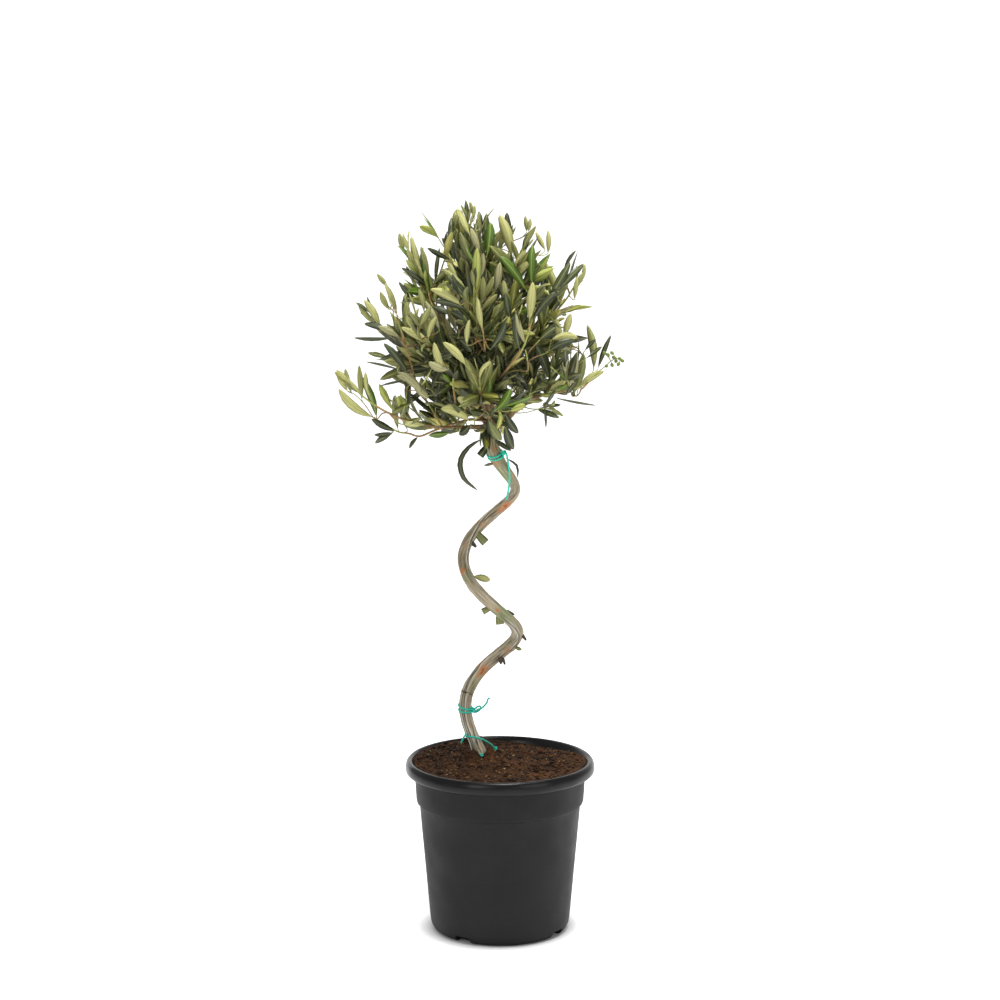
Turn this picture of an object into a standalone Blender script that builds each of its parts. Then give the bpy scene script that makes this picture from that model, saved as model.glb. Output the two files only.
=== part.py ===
"""A potted olive tree: a nursery pot full of soil, a stem wound in a spiral, boughs and a round crown.

Metres, +Z up. The origin is the middle of the pot's flat underside. The front is the -Y side.
"""

import math
import random

import bmesh
import bpy
from mathutils import Quaternion, Vector
from mathutils.bvhtree import BVHTree

# The space left between pieces that meet
GAP = 0.0003
UP = Vector((0.0, 0.0, 1.0))

# Pot: a thin moulded wall with a rolled lip, a wider band under it and a rounded foot
POT_HEIGHT = 0.2065
POT_WALL = 0.0020
POT_FLOOR = 0.0025
POT_SIDES = 32
FOOT_RADIUS = 0.074
FOOT_ROUND = 0.010
WALL_LOW_RADIUS = 0.0832
WALL_TOP_RADIUS = 0.0958
STEP_BOTTOM = 0.1533
STEP_TOP = 0.1573
BAND_LOW_RADIUS = 0.0992
BAND_TOP_RADIUS = 0.1012
LIP_BOTTOM = 0.190
LIP_RADIUS = 0.1125
LIP_WIDTH = 0.0060
LIP_INNER_RADIUS = 0.1030
LIP_UNDERCUT = 0.0010
LIP_DISH = 0.0006
THROAT_DEPTH = 0.0070

# Drain notches cut through the corner of the foot
NOTCH_COUNT = 4
NOTCH_FIRST = math.radians(-33.0)
NOTCH_WIDTH = 0.019
NOTCH_TOP_WIDTH = 0.014
NOTCH_HEIGHT = 0.0060
NOTCH_INNER = 0.066
NOTCH_OUTER = 0.096

# Soil: level at the lip, with a low mound round the stem
SOIL_EDGE = 0.2030
SOIL_MOUND = 0.0080
SOIL_FLAT = 0.020
SOIL_SLOPE = 0.062
SOIL_RINGS = 3

# Trunk: a left-handed spiral whose radius closes in below the fork
TRUNK_AXIS_X = -0.0105
TRUNK_AXIS_Y = 0.0220
TRUNK_LEAN = 0.0058
LEAN_FROM = 0.400
SPIRAL_RADIUS = 0.0315
SPIRAL_PITCH = 0.178
SPIRAL_LEFT = 0.265
SPIRAL_FOOT = 0.2065
SPIRAL_SLOWING = 0.107
BASE_SLOWING = 0.28
SPIRAL_END = 0.507
SPIRAL_CLOSING = 0.104
# The stem swings to the right under the fork
SWING_HEIGHT = 0.567
SWING_REACH = 0.030
SWING = 0.0024
BURIED = 0.010
FORK_HEIGHT = 0.600
FORK_RADIUS = 0.0092
# Angles up the rounded head of the stem at which it has a ring
FORK_RINGS = (-30.0, 0.0, 30.0, 60.0, 80.0)
TRUNK_SIDES = 10
TRUNK_RINGS = 42
FLARE_HEIGHT = 0.028
FLARE = 0.0022
# Height and radius of the stem's wood, from the ground to the fork
TRUNK_GIRTH = (
    (0.205, 0.0080),
    (0.270, 0.0074),
    (0.450, 0.0064),
    (0.530, 0.0056),
    (0.553, 0.0068),
    (0.568, 0.0081),
    (0.585, 0.0077),
)

# Crown: a full round dome that the shoots grow out to, squarer than an oval where its fullness is over 2
CROWN_CENTRE = Vector((-0.024, 0.014, 0.712))
CROWN_WIDE = 0.124
CROWN_DEEP = 0.118
CROWN_ABOVE = 0.143
CROWN_BELOW = 0.130
CROWN_FULLNESS = 2.6
CROWN_FLOOR = 0.582
CELL_CLEARANCE = 0.0005
LIMB_CLEARANCE = 0.0010

# Limbs and shoots: how strongly a curve keeps its heading at each end, as shares of its span
START_PULL = 0.38
TIP_PULL = 0.34
LEADER_STEPS = 12
BOUGH_STEPS = 5
STEM_STEPS = 6
REACH_STEPS = 4
TWIG_STEPS = 3
LIMB_SIDES = 6
STEM_SIDES = 4
TWIG_SIDES = 3
TWIG_RADIUS = 0.0013
TWIG_TIP_RADIUS = 0.0010
TWIG_SPACING = 0.026
TWIG_LENGTH = 0.088
TWIG_SHORTEST = 0.026
TWIG_TRIES = (1.0, 0.8, 0.6)
TWIG_ANGLE = math.radians(52.0)
TWIG_LIFT = 0.55
# Shares of a stem's length: the first long twig and the step to the next, then the first and the last pair
LONG_TWIG_FIRST = 0.16
LONG_TWIG_STEP = 0.20
PAIR_FIRST = 0.10
PAIR_LAST = 0.88

# Leaves: opposite pairs, each a quarter turn on, smaller and closer to the shoot towards its tip
STEM_LEAVES_FROM = 0.12
TWIG_LEAVES_FROM = 0.20
LAST_PAIR = 0.985
YOUNG_FROM = 0.55
YOUNG_SMALLER = 0.34
YOUNG_CLOSER = 0.62
SIZE_SPREAD = 0.15
TURN_SPREAD = 0.3
LEAF_SPACING = 0.0178
LEAF_LENGTH = 0.044
LEAF_WIDTH = 0.0170
LEAF_THICKNESS = 0.0012
LEAF_SHOULDER = 0.46
LEAF_RIDGE = 0.18
LEAF_SUNK = 0.0003
LEAF_ANGLE = math.radians(40.0)
LEAF_LIFT = 0.18
LEAF_CLEAR_FROM = 0.16
# Turns about its shoot, and sizes, at which a leaf is tried until it fits
LEAF_TRIES = ((0.0, 1.0), (0.5, 1.0), (-0.5, 0.9), (1.0, 0.8), (-1.0, 0.7))
TIP_LEAF = 0.024
REACH_LEAVES = 0.058
BUD_RADIUS = 0.0030
BUD_OUT = 0.7
LOOK_AHEAD = 0.002

# Each bough: what it grows from (None for the fork, or a share of the leader's length), the way it
# leaves that, the tip, the heading at the tip, and its radius at both ends
BOUGHS = {
    "bough_leader": (None, (-0.10, -0.05, 1.0), (-0.024, 0.014, 0.688), (-0.1, 0.0, 1.0), 0.0042, 0.0028),
    "bough_right": (None, (0.86, -0.25, 0.42), (0.041, -0.002, 0.639), (1.0, -0.25, 0.05), 0.0036, 0.0024),
    "bough_left_low": (None, (-0.90, -0.42, 0.10), (-0.052, -0.008, 0.604), (-1.0, -0.15, 0.02), 0.003, 0.002),
    "bough_front": (None, (-0.05, -0.86, 0.46), (-0.018, -0.020, 0.628), (-0.1, -0.75, 0.60), 0.003, 0.0022),
    "bough_back_left": (None, (-0.52, 0.74, 0.38), (-0.038, 0.050, 0.626), (-0.55, 0.55, 0.55), 0.0032, 0.0023),
    "bough_back_right": (None, (0.52, 0.74, 0.38), (0.014, 0.052, 0.626), (0.55, 0.55, 0.55), 0.0032, 0.0023),
    "bough_left": (0.25, (-1.0, 0.10, 0.30), (-0.048, 0.018, 0.650), (-0.6, 0.05, 0.8), 0.0026, 0.0019),
    "bough_back_top": (0.36, (0.05, 1.0, 0.30), (-0.014, 0.044, 0.662), (0.0, 0.5, 0.85), 0.0024, 0.0018),
    "bough_front_top": (0.46, (-0.15, -1.0, 0.30), (-0.024, -0.014, 0.672), (-0.05, -0.6, 0.80), 0.0024, 0.0018),
    "bough_right_top": (0.58, (1.0, 0.25, 0.35), (0.008, 0.022, 0.680), (0.7, 0.1, 0.7), 0.0024, 0.0018),
    "bough_left_top": (0.72, (-0.95, -0.25, 0.35), (-0.050, 0.004, 0.700), (-0.6, -0.1, 0.8), 0.0023, 0.0017),
    "bough_front_left": (0.64, (-0.72, -0.69, 0.30), (-0.054, -0.026, 0.684), (-0.6, -0.5, 0.6), 0.0023, 0.0017),
    "bough_front_right": (0.84, (0.62, -0.78, 0.35), (0.000, -0.008, 0.704), (0.4, -0.35, 0.85), 0.0023, 0.0017),
}

# Each mass of foliage: its bough, the middle of the space it keeps to, how far its shoots reach, and
# the seed of its chances.
# The stem grows to the first of these and a long twig to each of the others.
FOLIAGE = {
    "foliage_top": (
        "bough_leader",
        (-0.026, 0.014, 0.770),
        ((-0.038, 0.000, 0.864), (-0.002, 0.022, 0.848), (-0.056, 0.030, 0.840)),
        4,
    ),
    "foliage_left_top": (
        "bough_left_top",
        (-0.092, -0.010, 0.776),
        ((-0.111, -0.012, 0.831), (-0.140, -0.006, 0.788), (-0.088, -0.044, 0.796)),
        35,
    ),
    "foliage_front_right": (
        "bough_front_right",
        (0.030, -0.036, 0.778),
        ((0.031, -0.024, 0.850), (0.054, -0.030, 0.832), (0.062, -0.058, 0.772), (0.006, -0.062, 0.822)),
        9,
    ),
    "foliage_right_top": (
        "bough_right_top",
        (0.068, 0.024, 0.738),
        ((0.098, 0.006, 0.792), (0.094, -0.010, 0.730), (0.074, 0.056, 0.776)),
        12,
    ),
    "foliage_left": (
        "bough_left",
        (-0.108, 0.022, 0.706),
        ((-0.158, 0.006, 0.752), (-0.150, 0.014, 0.704), (-0.136, 0.050, 0.728)),
        17,
    ),
    "foliage_left_low": (
        "bough_left_low",
        (-0.104, -0.030, 0.630),
        ((-0.188, -0.024, 0.674), (-0.146, -0.026, 0.598), (-0.108, -0.040, 0.690), (-0.100, -0.074, 0.628)),
        24,
    ),
    "foliage_right_low": (
        "bough_right",
        (0.078, -0.026, 0.656),
        ((0.138, -0.034, 0.692), (0.106, -0.020, 0.716), (0.074, -0.074, 0.694), (0.084, 0.024, 0.650)),
        22,
    ),
    "foliage_front_low": (
        "bough_front",
        (-0.020, -0.074, 0.654),
        ((-0.024, -0.106, 0.690), (-0.060, -0.084, 0.622), (0.026, -0.092, 0.644)),
        24,
    ),
    "foliage_front_left": (
        "bough_front_left",
        (-0.086, -0.072, 0.706),
        ((-0.106, -0.088, 0.744), (-0.122, -0.054, 0.716), (-0.064, -0.104, 0.704)),
        17,
    ),
    "foliage_front_top": (
        "bough_front_top",
        (-0.028, -0.066, 0.744),
        ((-0.030, -0.098, 0.796), (-0.062, -0.074, 0.776), (0.024, -0.096, 0.746)),
        32,
    ),
    "foliage_back_left": (
        "bough_back_left",
        (-0.080, 0.088, 0.680),
        ((-0.104, 0.108, 0.720), (-0.126, 0.080, 0.668), (-0.050, 0.126, 0.686)),
        22,
    ),
    "foliage_back_right": (
        "bough_back_right",
        (0.044, 0.090, 0.676),
        ((0.056, 0.114, 0.724), (0.090, 0.080, 0.672), (0.004, 0.126, 0.676)),
        18,
    ),
    "foliage_back_top": (
        "bough_back_top",
        (-0.014, 0.080, 0.756),
        ((-0.020, 0.096, 0.822), (0.040, 0.090, 0.792), (-0.074, 0.086, 0.786)),
        9,
    ),
}
BUD_SHOOT = "foliage_right_low"
# Places of the buds along and around the last of their shoot
BUDS = ((0.004, 0.0), (0.001, 2.1), (-0.006, 4.0), (-0.010, 0.9), (-0.014, 3.0))

# Name: colour in linear light, roughness
LOOKS = {
    "pot": ((0.026, 0.026, 0.025), 0.55),
    "soil": ((0.040, 0.021, 0.011), 0.95),
    "trunk": ((0.230, 0.185, 0.125), 0.85),
    "bough": ((0.245, 0.165, 0.090), 0.80),
    "foliage": ((0.090, 0.125, 0.045), 0.55),
}


def clear_scene():
    """Removes every object that the file opened with."""
    for thing in list(bpy.data.objects):
        bpy.data.objects.remove(thing, do_unlink=True)


def material_for(name):
    """A material of the object's own, in the look of its kind of sub-part."""
    kind = name.split("_")[0]
    colour, roughness = LOOKS[kind]
    made = bpy.data.materials.new(name)
    made.use_nodes = True
    surface = made.node_tree.nodes["Principled BSDF"]
    surface.inputs["Base Color"].default_value = (*colour, 1.0)
    surface.inputs["Roughness"].default_value = roughness
    surface.inputs["Metallic"].default_value = 0.0
    return made


def add_object(name, points, faces):
    """A mesh object, at the origin, linked to the scene."""
    mesh = bpy.data.meshes.new(name)
    mesh.from_pydata([tuple(point) for point in points], [], faces)
    thing = bpy.data.objects.new(name, mesh)
    bpy.context.scene.collection.objects.link(thing)
    return thing


def finish(thing, sharp_angle):
    """Gives a sub-part its material and shades its round sides smooth."""
    thing.data.materials.clear()
    thing.data.materials.append(material_for(thing.name))
    thing.data.shade_smooth()
    thing.data.set_sharp_from_angle(angle=math.radians(sharp_angle))


def smooth_step(share):
    """Goes from 0 to 1 with level ends, and stays there on both sides."""
    share = min(max(share, 0.0), 1.0)
    return share * share * (3.0 - 2.0 * share)


def read_table(table, place):
    """The value at a place in rows of place and value, joined by straight lines."""
    if place <= table[0][0]:
        return table[0][1]
    for (low, low_value), (high, high_value) in zip(table, table[1:]):
        if place <= high:
            return low_value + (high_value - low_value) * (place - low) / (high - low)
    return table[-1][1]


def arc(centre_radius, centre_height, wide, tall, first, last, steps):
    """Points of (radius, height) along an oval arc, angles in degrees from straight outwards."""
    points = []
    for step in range(steps + 1):
        angle = math.radians(first + (last - first) * step / steps)
        points.append((centre_radius + wide * math.cos(angle), centre_height + tall * math.sin(angle)))
    return points


def turned(name, profile, sides):
    """A closed body turned about the Z axis, from a profile that starts and ends on the axis."""
    points = [Vector((0.0, 0.0, profile[0][1]))]
    faces = []
    rings = profile[1:-1]
    for radius, height in rings:
        for side in range(sides):
            angle = math.tau * side / sides
            points.append(Vector((radius * math.cos(angle), radius * math.sin(angle), height)))
    points.append(Vector((0.0, 0.0, profile[-1][1])))
    last = len(points) - 1
    for side in range(sides):
        after = (side + 1) % sides
        faces.append((0, 1 + after, 1 + side))
        for ring in range(len(rings) - 1):
            low = 1 + ring * sides
            high = low + sides
            faces.append((low + side, low + after, high + after, high + side))
        top = 1 + (len(rings) - 1) * sides
        faces.append((top + side, top + after, last))
    return add_object(name, points, faces)


def apply_modifiers(thing):
    """Replaces a mesh by what its modifiers make of it."""
    bpy.context.view_layer.update()
    graph = bpy.context.evaluated_depsgraph_get()
    made = bpy.data.meshes.new_from_object(thing.evaluated_get(graph))
    thing.modifiers.clear()
    thing.data = made


def wall_radius(height):
    """The outer radius of the pot's wall below its band."""
    share = (height - FOOT_ROUND) / (STEP_BOTTOM - FOOT_ROUND)
    return WALL_LOW_RADIUS + (WALL_TOP_RADIUS - WALL_LOW_RADIUS) * share


def pot_outside():
    """The outer profile, from the middle of the underside to the inner edge of the lip."""
    foot = arc(FOOT_RADIUS, FOOT_ROUND, WALL_LOW_RADIUS - FOOT_RADIUS, FOOT_ROUND, -90.0, 0.0, 2)
    lip_middle = (LIP_BOTTOM + POT_HEIGHT) / 2.0 - LIP_UNDERCUT
    lip = arc(LIP_RADIUS - LIP_WIDTH, lip_middle, LIP_WIDTH, POT_HEIGHT - lip_middle, -40.0, 90.0, 4)
    return (
        [(0.0, 0.0)]
        + foot
        + [(WALL_TOP_RADIUS, STEP_BOTTOM), (BAND_LOW_RADIUS, STEP_TOP), (BAND_TOP_RADIUS, LIP_BOTTOM)]
        + [(lip[0][0] - LIP_UNDERCUT, LIP_BOTTOM)]
        + lip
        + [(LIP_INNER_RADIUS, POT_HEIGHT - LIP_DISH)]
    )


def pot_inside():
    """The inner profile, from the throat of the lip down to the middle of the floor."""
    wide = WALL_LOW_RADIUS - FOOT_RADIUS
    corner = arc(FOOT_RADIUS - POT_WALL, FOOT_ROUND + POT_FLOOR, wide, FOOT_ROUND, 0.0, -90.0, 2)
    return [
        (BAND_TOP_RADIUS - POT_WALL, POT_HEIGHT - THROAT_DEPTH),
        (BAND_LOW_RADIUS - POT_WALL, STEP_TOP),
        (WALL_TOP_RADIUS - POT_WALL, STEP_BOTTOM),
    ] + corner + [(0.0, POT_FLOOR)]


def make_pot():
    """The pot, with its drain notches cut through the corner of the foot."""
    pot = turned("pot", pot_outside() + pot_inside(), POT_SIDES)
    cutters = []
    for number in range(NOTCH_COUNT):
        angle = NOTCH_FIRST + math.tau * number / NOTCH_COUNT
        out = Vector((math.sin(angle), -math.cos(angle), 0.0))
        cutters.append(notch_cutter(f"notch_{number}", out))
    for cutter in cutters:
        cut = pot.modifiers.new(cutter.name, "BOOLEAN")
        cut.operation = "DIFFERENCE"
        cut.solver = "EXACT"
        cut.object = cutter
    apply_modifiers(pot)
    for cutter in cutters:
        bpy.data.objects.remove(cutter, do_unlink=True)
    finish(pot, 35.0)
    return pot


def notch_cutter(name, out):
    """A wedge that points outwards, wider at the ground than at its top."""
    across = UP.cross(out)
    points = []
    for reach in (NOTCH_INNER, NOTCH_OUTER):
        for height, width in ((-NOTCH_HEIGHT, NOTCH_WIDTH), (NOTCH_HEIGHT, NOTCH_TOP_WIDTH)):
            for side in (-0.5, 0.5):
                points.append(out * reach + across * (side * width) + UP * height)
    faces = [(0, 2, 3, 1), (4, 5, 7, 6), (0, 1, 5, 4), (2, 6, 7, 3), (0, 4, 6, 2), (1, 3, 7, 5)]
    cutter = add_object(name, points, faces)
    cutter.hide_render = True
    cutter.display_type = "WIRE"
    return cutter


def soil_height(x, y):
    """The height of the soil: flat round the stem, sloping to a level edge."""
    foot = trunk_point(ground_height())
    distance = math.hypot(x - foot.x, y - foot.y)
    return SOIL_EDGE + SOIL_MOUND * (1.0 - smooth_step((distance - SOIL_FLAT) / SOIL_SLOPE))


def ground_height():
    """The height of the flat ground that the stem comes out of."""
    return SOIL_EDGE + SOIL_MOUND


def make_soil():
    """The soil that fills the pot, a gap clear of its wall and floor."""
    inside = pot_inside()
    wall = [(radius - GAP, height + GAP) for radius, height in reversed(inside[:-1])]
    throat_radius, throat_height = inside[0]
    share = (SOIL_EDGE - throat_height) / (POT_HEIGHT - LIP_DISH - throat_height)
    edge_radius = throat_radius + (LIP_INNER_RADIUS - throat_radius) * share - 2.0 * GAP
    profile = [(0.0, POT_FLOOR + GAP)] + wall + [(edge_radius, SOIL_EDGE)]
    for ring in range(1, SOIL_RINGS):
        profile.append((edge_radius * (1.0 - ring / SOIL_RINGS), SOIL_EDGE))
    profile.append((0.0, SOIL_EDGE))
    soil = turned("soil", profile, POT_SIDES)
    for vertex in soil.data.vertices:
        if vertex.co.z > SOIL_EDGE - GAP and math.hypot(vertex.co.x, vertex.co.y) < edge_radius - GAP:
            vertex.co.z = soil_height(vertex.co.x, vertex.co.y)
    finish(soil, 60.0)
    return soil


def trunk_point(height):
    """The middle of the stem at a height."""
    turn = math.tau / SPIRAL_PITCH
    if height < SPIRAL_LEFT:
        base = SPIRAL_LEFT - SPIRAL_FOOT
        share = (SPIRAL_LEFT - height) / base
        angle = math.pi + turn * (1.0 - SPIRAL_SLOWING) * base * share * (1.0 - BASE_SLOWING * share)
    else:
        angle = math.pi - turn * (height - SPIRAL_LEFT)
        angle += SPIRAL_SLOWING * math.sin(angle)
    radius = SPIRAL_RADIUS * (1.0 - smooth_step((height - SPIRAL_END) / SPIRAL_CLOSING))
    x = TRUNK_AXIS_X + TRUNK_LEAN * (height - LEAN_FROM) + radius * math.cos(angle)
    x += SWING * (1.0 - smooth_step(abs(height - SWING_HEIGHT) / SWING_REACH))
    return Vector((x, TRUNK_AXIS_Y + radius * math.sin(angle), height))


def trunk_radius(height):
    """The stem's radius, flaring at the ground and swelling at the fork."""
    above = (height - ground_height()) / FLARE_HEIGHT
    return read_table(TRUNK_GIRTH, height) + FLARE * (1.0 - smooth_step(above)) ** 2


def tube(points, radii, sides, first_way=None):
    """A closed tube with flat ends along a line of points, as (points, faces)."""
    ways = []
    for number in range(len(points)):
        before = points[max(number - 1, 0)]
        after = points[min(number + 1, len(points) - 1)]
        ways.append((after - before).normalized())
    if first_way is not None:
        ways[0] = first_way.normalized()
    across = ways[0].orthogonal().normalized()
    corners = []
    for number, point in enumerate(points):
        if number:
            turn = ways[number - 1].rotation_difference(ways[number])
            across = (turn @ across).normalized()
        for side in range(sides):
            spin = Quaternion(ways[number], math.tau * side / sides)
            corners.append(point + (spin @ across) * radii[number])
    faces = [tuple(reversed(range(sides)))]
    for ring in range(len(points) - 1):
        for side in range(sides):
            after = (side + 1) % sides
            low = ring * sides
            faces.append((low + side, low + after, low + sides + after, low + sides + side))
    last = (len(points) - 1) * sides
    faces.append(tuple(range(last, last + sides)))
    return corners, faces


def make_trunk():
    """The wound stem, cut flat at the ground, with a rounded head at the fork."""
    ground = ground_height() + GAP
    low = ground - BURIED
    heights = [low + (FORK_HEIGHT - low) * ring / TRUNK_RINGS for ring in range(TRUNK_RINGS + 1)]
    points = [trunk_point(height) for height in heights]
    radii = [trunk_radius(height) for height in heights]
    head = trunk_point(FORK_HEIGHT)
    while (points[-1] - head).length < FORK_RADIUS:
        points.pop()
        radii.pop()
    for angle in FORK_RINGS:
        rise = math.sin(math.radians(angle))
        points.append(head + UP * (FORK_RADIUS * rise))
        radii.append(FORK_RADIUS * math.cos(math.radians(angle)))
    corners, faces = tube(points, radii, TRUNK_SIDES)
    trunk = add_object("trunk", corners, faces)
    shape = bmesh.new()
    shape.from_mesh(trunk.data)
    everything = shape.verts[:] + shape.edges[:] + shape.faces[:]
    cut = bmesh.ops.bisect_plane(
        shape, geom=everything, plane_co=(0.0, 0.0, ground), plane_no=UP, clear_inner=True
    )
    rim = [part for part in cut["geom_cut"] if isinstance(part, bmesh.types.BMEdge)]
    bmesh.ops.edgeloop_fill(shape, edges=rim)
    bmesh.ops.recalc_face_normals(shape, faces=shape.faces[:])
    shape.to_mesh(trunk.data)
    shape.free()
    finish(trunk, 50.0)
    return trunk


def bent(start, heading, tip, tip_heading, steps):
    """Points along a limb that leaves a start on one heading and ends at a tip on another."""
    reach = (tip - start).length
    first = start + heading.normalized() * (reach * START_PULL)
    second = tip - tip_heading.normalized() * (reach * TIP_PULL)
    points = []
    for step in range(steps + 1):
        t = step / steps
        s = 1.0 - t
        points.append(start * s**3 + first * (3 * s * s * t) + second * (3 * s * t * t) + tip * t**3)
    return points


def bough_line(name):
    """The points along a bough and its radius at each, with its foot a gap clear of what bears it."""
    parent, leaving, tip, tip_heading, low_radius, high_radius = BOUGHS[name]
    leaving = Vector(leaving).normalized()
    if parent is None:
        start = trunk_point(FORK_HEIGHT) + leaving * (FORK_RADIUS + GAP)
    else:
        leader, leader_radii, _ = bough_line("bough_leader")
        number = round(parent * (len(leader) - 1))
        way = (leader[number + 1] - leader[number - 1]).normalized()
        leaving = (leaving - way * leaving.dot(way)).normalized()
        start = leader[number] + leaving * (leader_radii[number] + GAP)
    steps = LEADER_STEPS if name == "bough_leader" else BOUGH_STEPS
    points = bent(start, leaving, Vector(tip), Vector(tip_heading), steps)
    radii = [low_radius + (high_radius - low_radius) * step / steps for step in range(steps + 1)]
    return points, radii, leaving


def make_bough(name):
    """One tapering bough, its foot square to the way it leaves what bears it."""
    points, radii, leaving = bough_line(name)
    bough = add_object(name, *tube(points, radii, LIMB_SIDES, leaving))
    finish(bough, 50.0)
    return bough


def leaf(root, way, upper, length, width):
    """A closed leaf of six faces: a flat back from root to tip and a ridge over it, as (points, faces)."""
    across = way.cross(upper).normalized()
    upper = across.cross(way).normalized()
    shoulder = root + way * (length * LEAF_SHOULDER)
    points = [
        root,
        shoulder + across * (width * 0.5),
        shoulder - across * (width * 0.5),
        root + way * (length * LEAF_RIDGE) + upper * LEAF_THICKNESS,
        root + way * length,
    ]
    faces = [(0, 1, 3), (0, 3, 2), (1, 4, 3), (3, 4, 2), (0, 2, 1), (1, 2, 4)]
    return points, faces


def bud(place):
    """A small closed flower bud of eight faces, as (points, faces)."""
    points = []
    for way in (Vector((1, 0, 0)), Vector((0, 1, 0)), Vector((0, 0, 1))):
        points.append(place + way * BUD_RADIUS)
        points.append(place - way * BUD_RADIUS)
    faces = [(0, 2, 4), (2, 1, 4), (1, 3, 4), (3, 0, 4), (2, 0, 5), (1, 2, 5), (3, 1, 5), (0, 3, 5)]
    return points, faces


def in_space(points, name):
    """True if all the points lie in the space that a mass keeps to, clear of the other masses."""
    own = Vector(FOLIAGE[name][1])
    for point in points:
        if point.z < CROWN_FLOOR:
            return False
        for other, row in FOLIAGE.items():
            if other == name:
                continue
            theirs = Vector(row[1])
            between = theirs - own
            past = (point - (own + theirs) / 2.0).dot(between) / between.length
            if past > -CELL_CLEARANCE:
                return False
    return True


def crown_share(point):
    """How far out a point of the crown lies: 0 at its middle and 1 at the edge of the dome."""
    away = point - CROWN_CENTRE
    level = math.hypot(away.x / CROWN_WIDE, away.y / CROWN_DEEP)
    upright = away.z / (CROWN_ABOVE if away.z > 0.0 else CROWN_BELOW)
    return (level**CROWN_FULLNESS + abs(upright) ** CROWN_FULLNESS) ** (1.0 / CROWN_FULLNESS)


def in_reach(points, name):
    """True if all the points lie in the crown's dome, or near one of the mass's furthest tips."""
    for point in points:
        if crown_share(point) > 1.0:
            if min((point - Vector(tip)).length for tip in FOLIAGE[name][2]) > REACH_LEAVES:
                return False
    return True


def clear_of_limbs(solid, limbs):
    """True if a solid stays clear of the trunk and the boughs."""
    points, faces = solid
    if limbs.overlap(BVHTree.FromPolygons(points, faces)):
        return False
    for face in faces:
        middle = sum((points[corner] for corner in face), Vector()) / len(face)
        for probe in (middle, *(points[corner] for corner in face)):
            if limbs.find_nearest(probe, LIMB_CLEARANCE)[0] is not None:
                return False
    return True


def room_ahead(start, way):
    """How far the edge of the crown's dome is from a point inside it, up to a twig's length."""
    reach = 0.0
    while reach < TWIG_LENGTH + TIP_LEAF and crown_share(start + way * (reach + LOOK_AHEAD)) < 1.0:
        reach += LOOK_AHEAD
    return reach


def place_on(points, share):
    """The point and the heading at a share of a line's length."""
    reach = share * (len(points) - 1)
    number = min(int(reach), len(points) - 2)
    step = points[number + 1] - points[number]
    return points[number] + step * (reach - number), step.normalized()


def line_length(points):
    """The length of a line of points."""
    return sum((after - before).length for before, after in zip(points, points[1:]))


def leaf_places(points, chance, first_share):
    """Where leaves grow on a shoot: opposite pairs, each a quarter turn on, and a pair at its tip.

    Each place is (point, the shoot's heading, the turn about it, the angle from it, the size).
    """
    length = line_length(points)
    pairs = max(1, round(length * (1.0 - first_share) / LEAF_SPACING))
    spin = chance.uniform(0.0, math.tau)
    places = []
    for pair in range(pairs + 1):
        share = first_share + (1.0 - first_share) * pair / pairs
        place, way = place_on(points, min(share, LAST_PAIR))
        young = smooth_step((share - YOUNG_FROM) / (1.0 - YOUNG_FROM))
        angle = LEAF_ANGLE * (1.0 - YOUNG_CLOSER * young)
        for half in (0.0, math.pi):
            size = chance.uniform(1.0 - SIZE_SPREAD, 1.0 + SIZE_SPREAD) * (1.0 - YOUNG_SMALLER * young)
            turn = spin + half + chance.uniform(-TURN_SPREAD, TURN_SPREAD)
            places.append((place, way, turn, angle, size))
        spin += math.pi / 2.0
    return places


def leaf_at(place, way, spin, angle, size, clear=0.0):
    """The leaf that grows at a place, less a share of its length at the root."""
    side = Quaternion(way, spin) @ way.orthogonal().normalized()
    out = (way * math.cos(angle) + side * math.sin(angle) + UP * LEAF_LIFT).normalized()
    upper = way * math.sin(angle) - side * math.cos(angle)
    length = LEAF_LENGTH * size
    root = place + out * (length * clear - LEAF_SUNK)
    return leaf(root, out, upper, length * (1.0 - clear), LEAF_WIDTH * size)


def fitting_leaf(spot, name, limbs, grown):
    """The first try of a leaf that keeps to the mass's space and crosses nothing, or None."""
    place, way, spin, angle, size = spot
    for turn, less in LEAF_TRIES:
        one = leaf_at(place, way, spin + turn, angle, size * less)
        if not (in_space(one[0], name) and in_reach(one[0], name)):
            continue
        if not clear_of_limbs(one, limbs):
            continue
        outer = BVHTree.FromPolygons(*leaf_at(place, way, spin + turn, angle, size * less, LEAF_CLEAR_FROM))
        if any(outer.overlap(other) for other in grown):
            continue
        grown.append(outer)
        return one
    return None


def twig_line(start, way, length):
    """The points along a twig that lifts towards the light."""
    lifted = (way + UP * TWIG_LIFT).normalized()
    tip = start + (way + lifted).normalized() * length
    return bent(start, way, tip, lifted, TWIG_STEPS)


def reaching_line(start, way, reach, steps):
    """The points along a shoot whose last leaves end where the mass reaches furthest."""
    heading = ((reach - start).normalized() + UP * TWIG_LIFT).normalized()
    return bent(start, way, reach - heading * TIP_LEAF, heading, steps)


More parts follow.
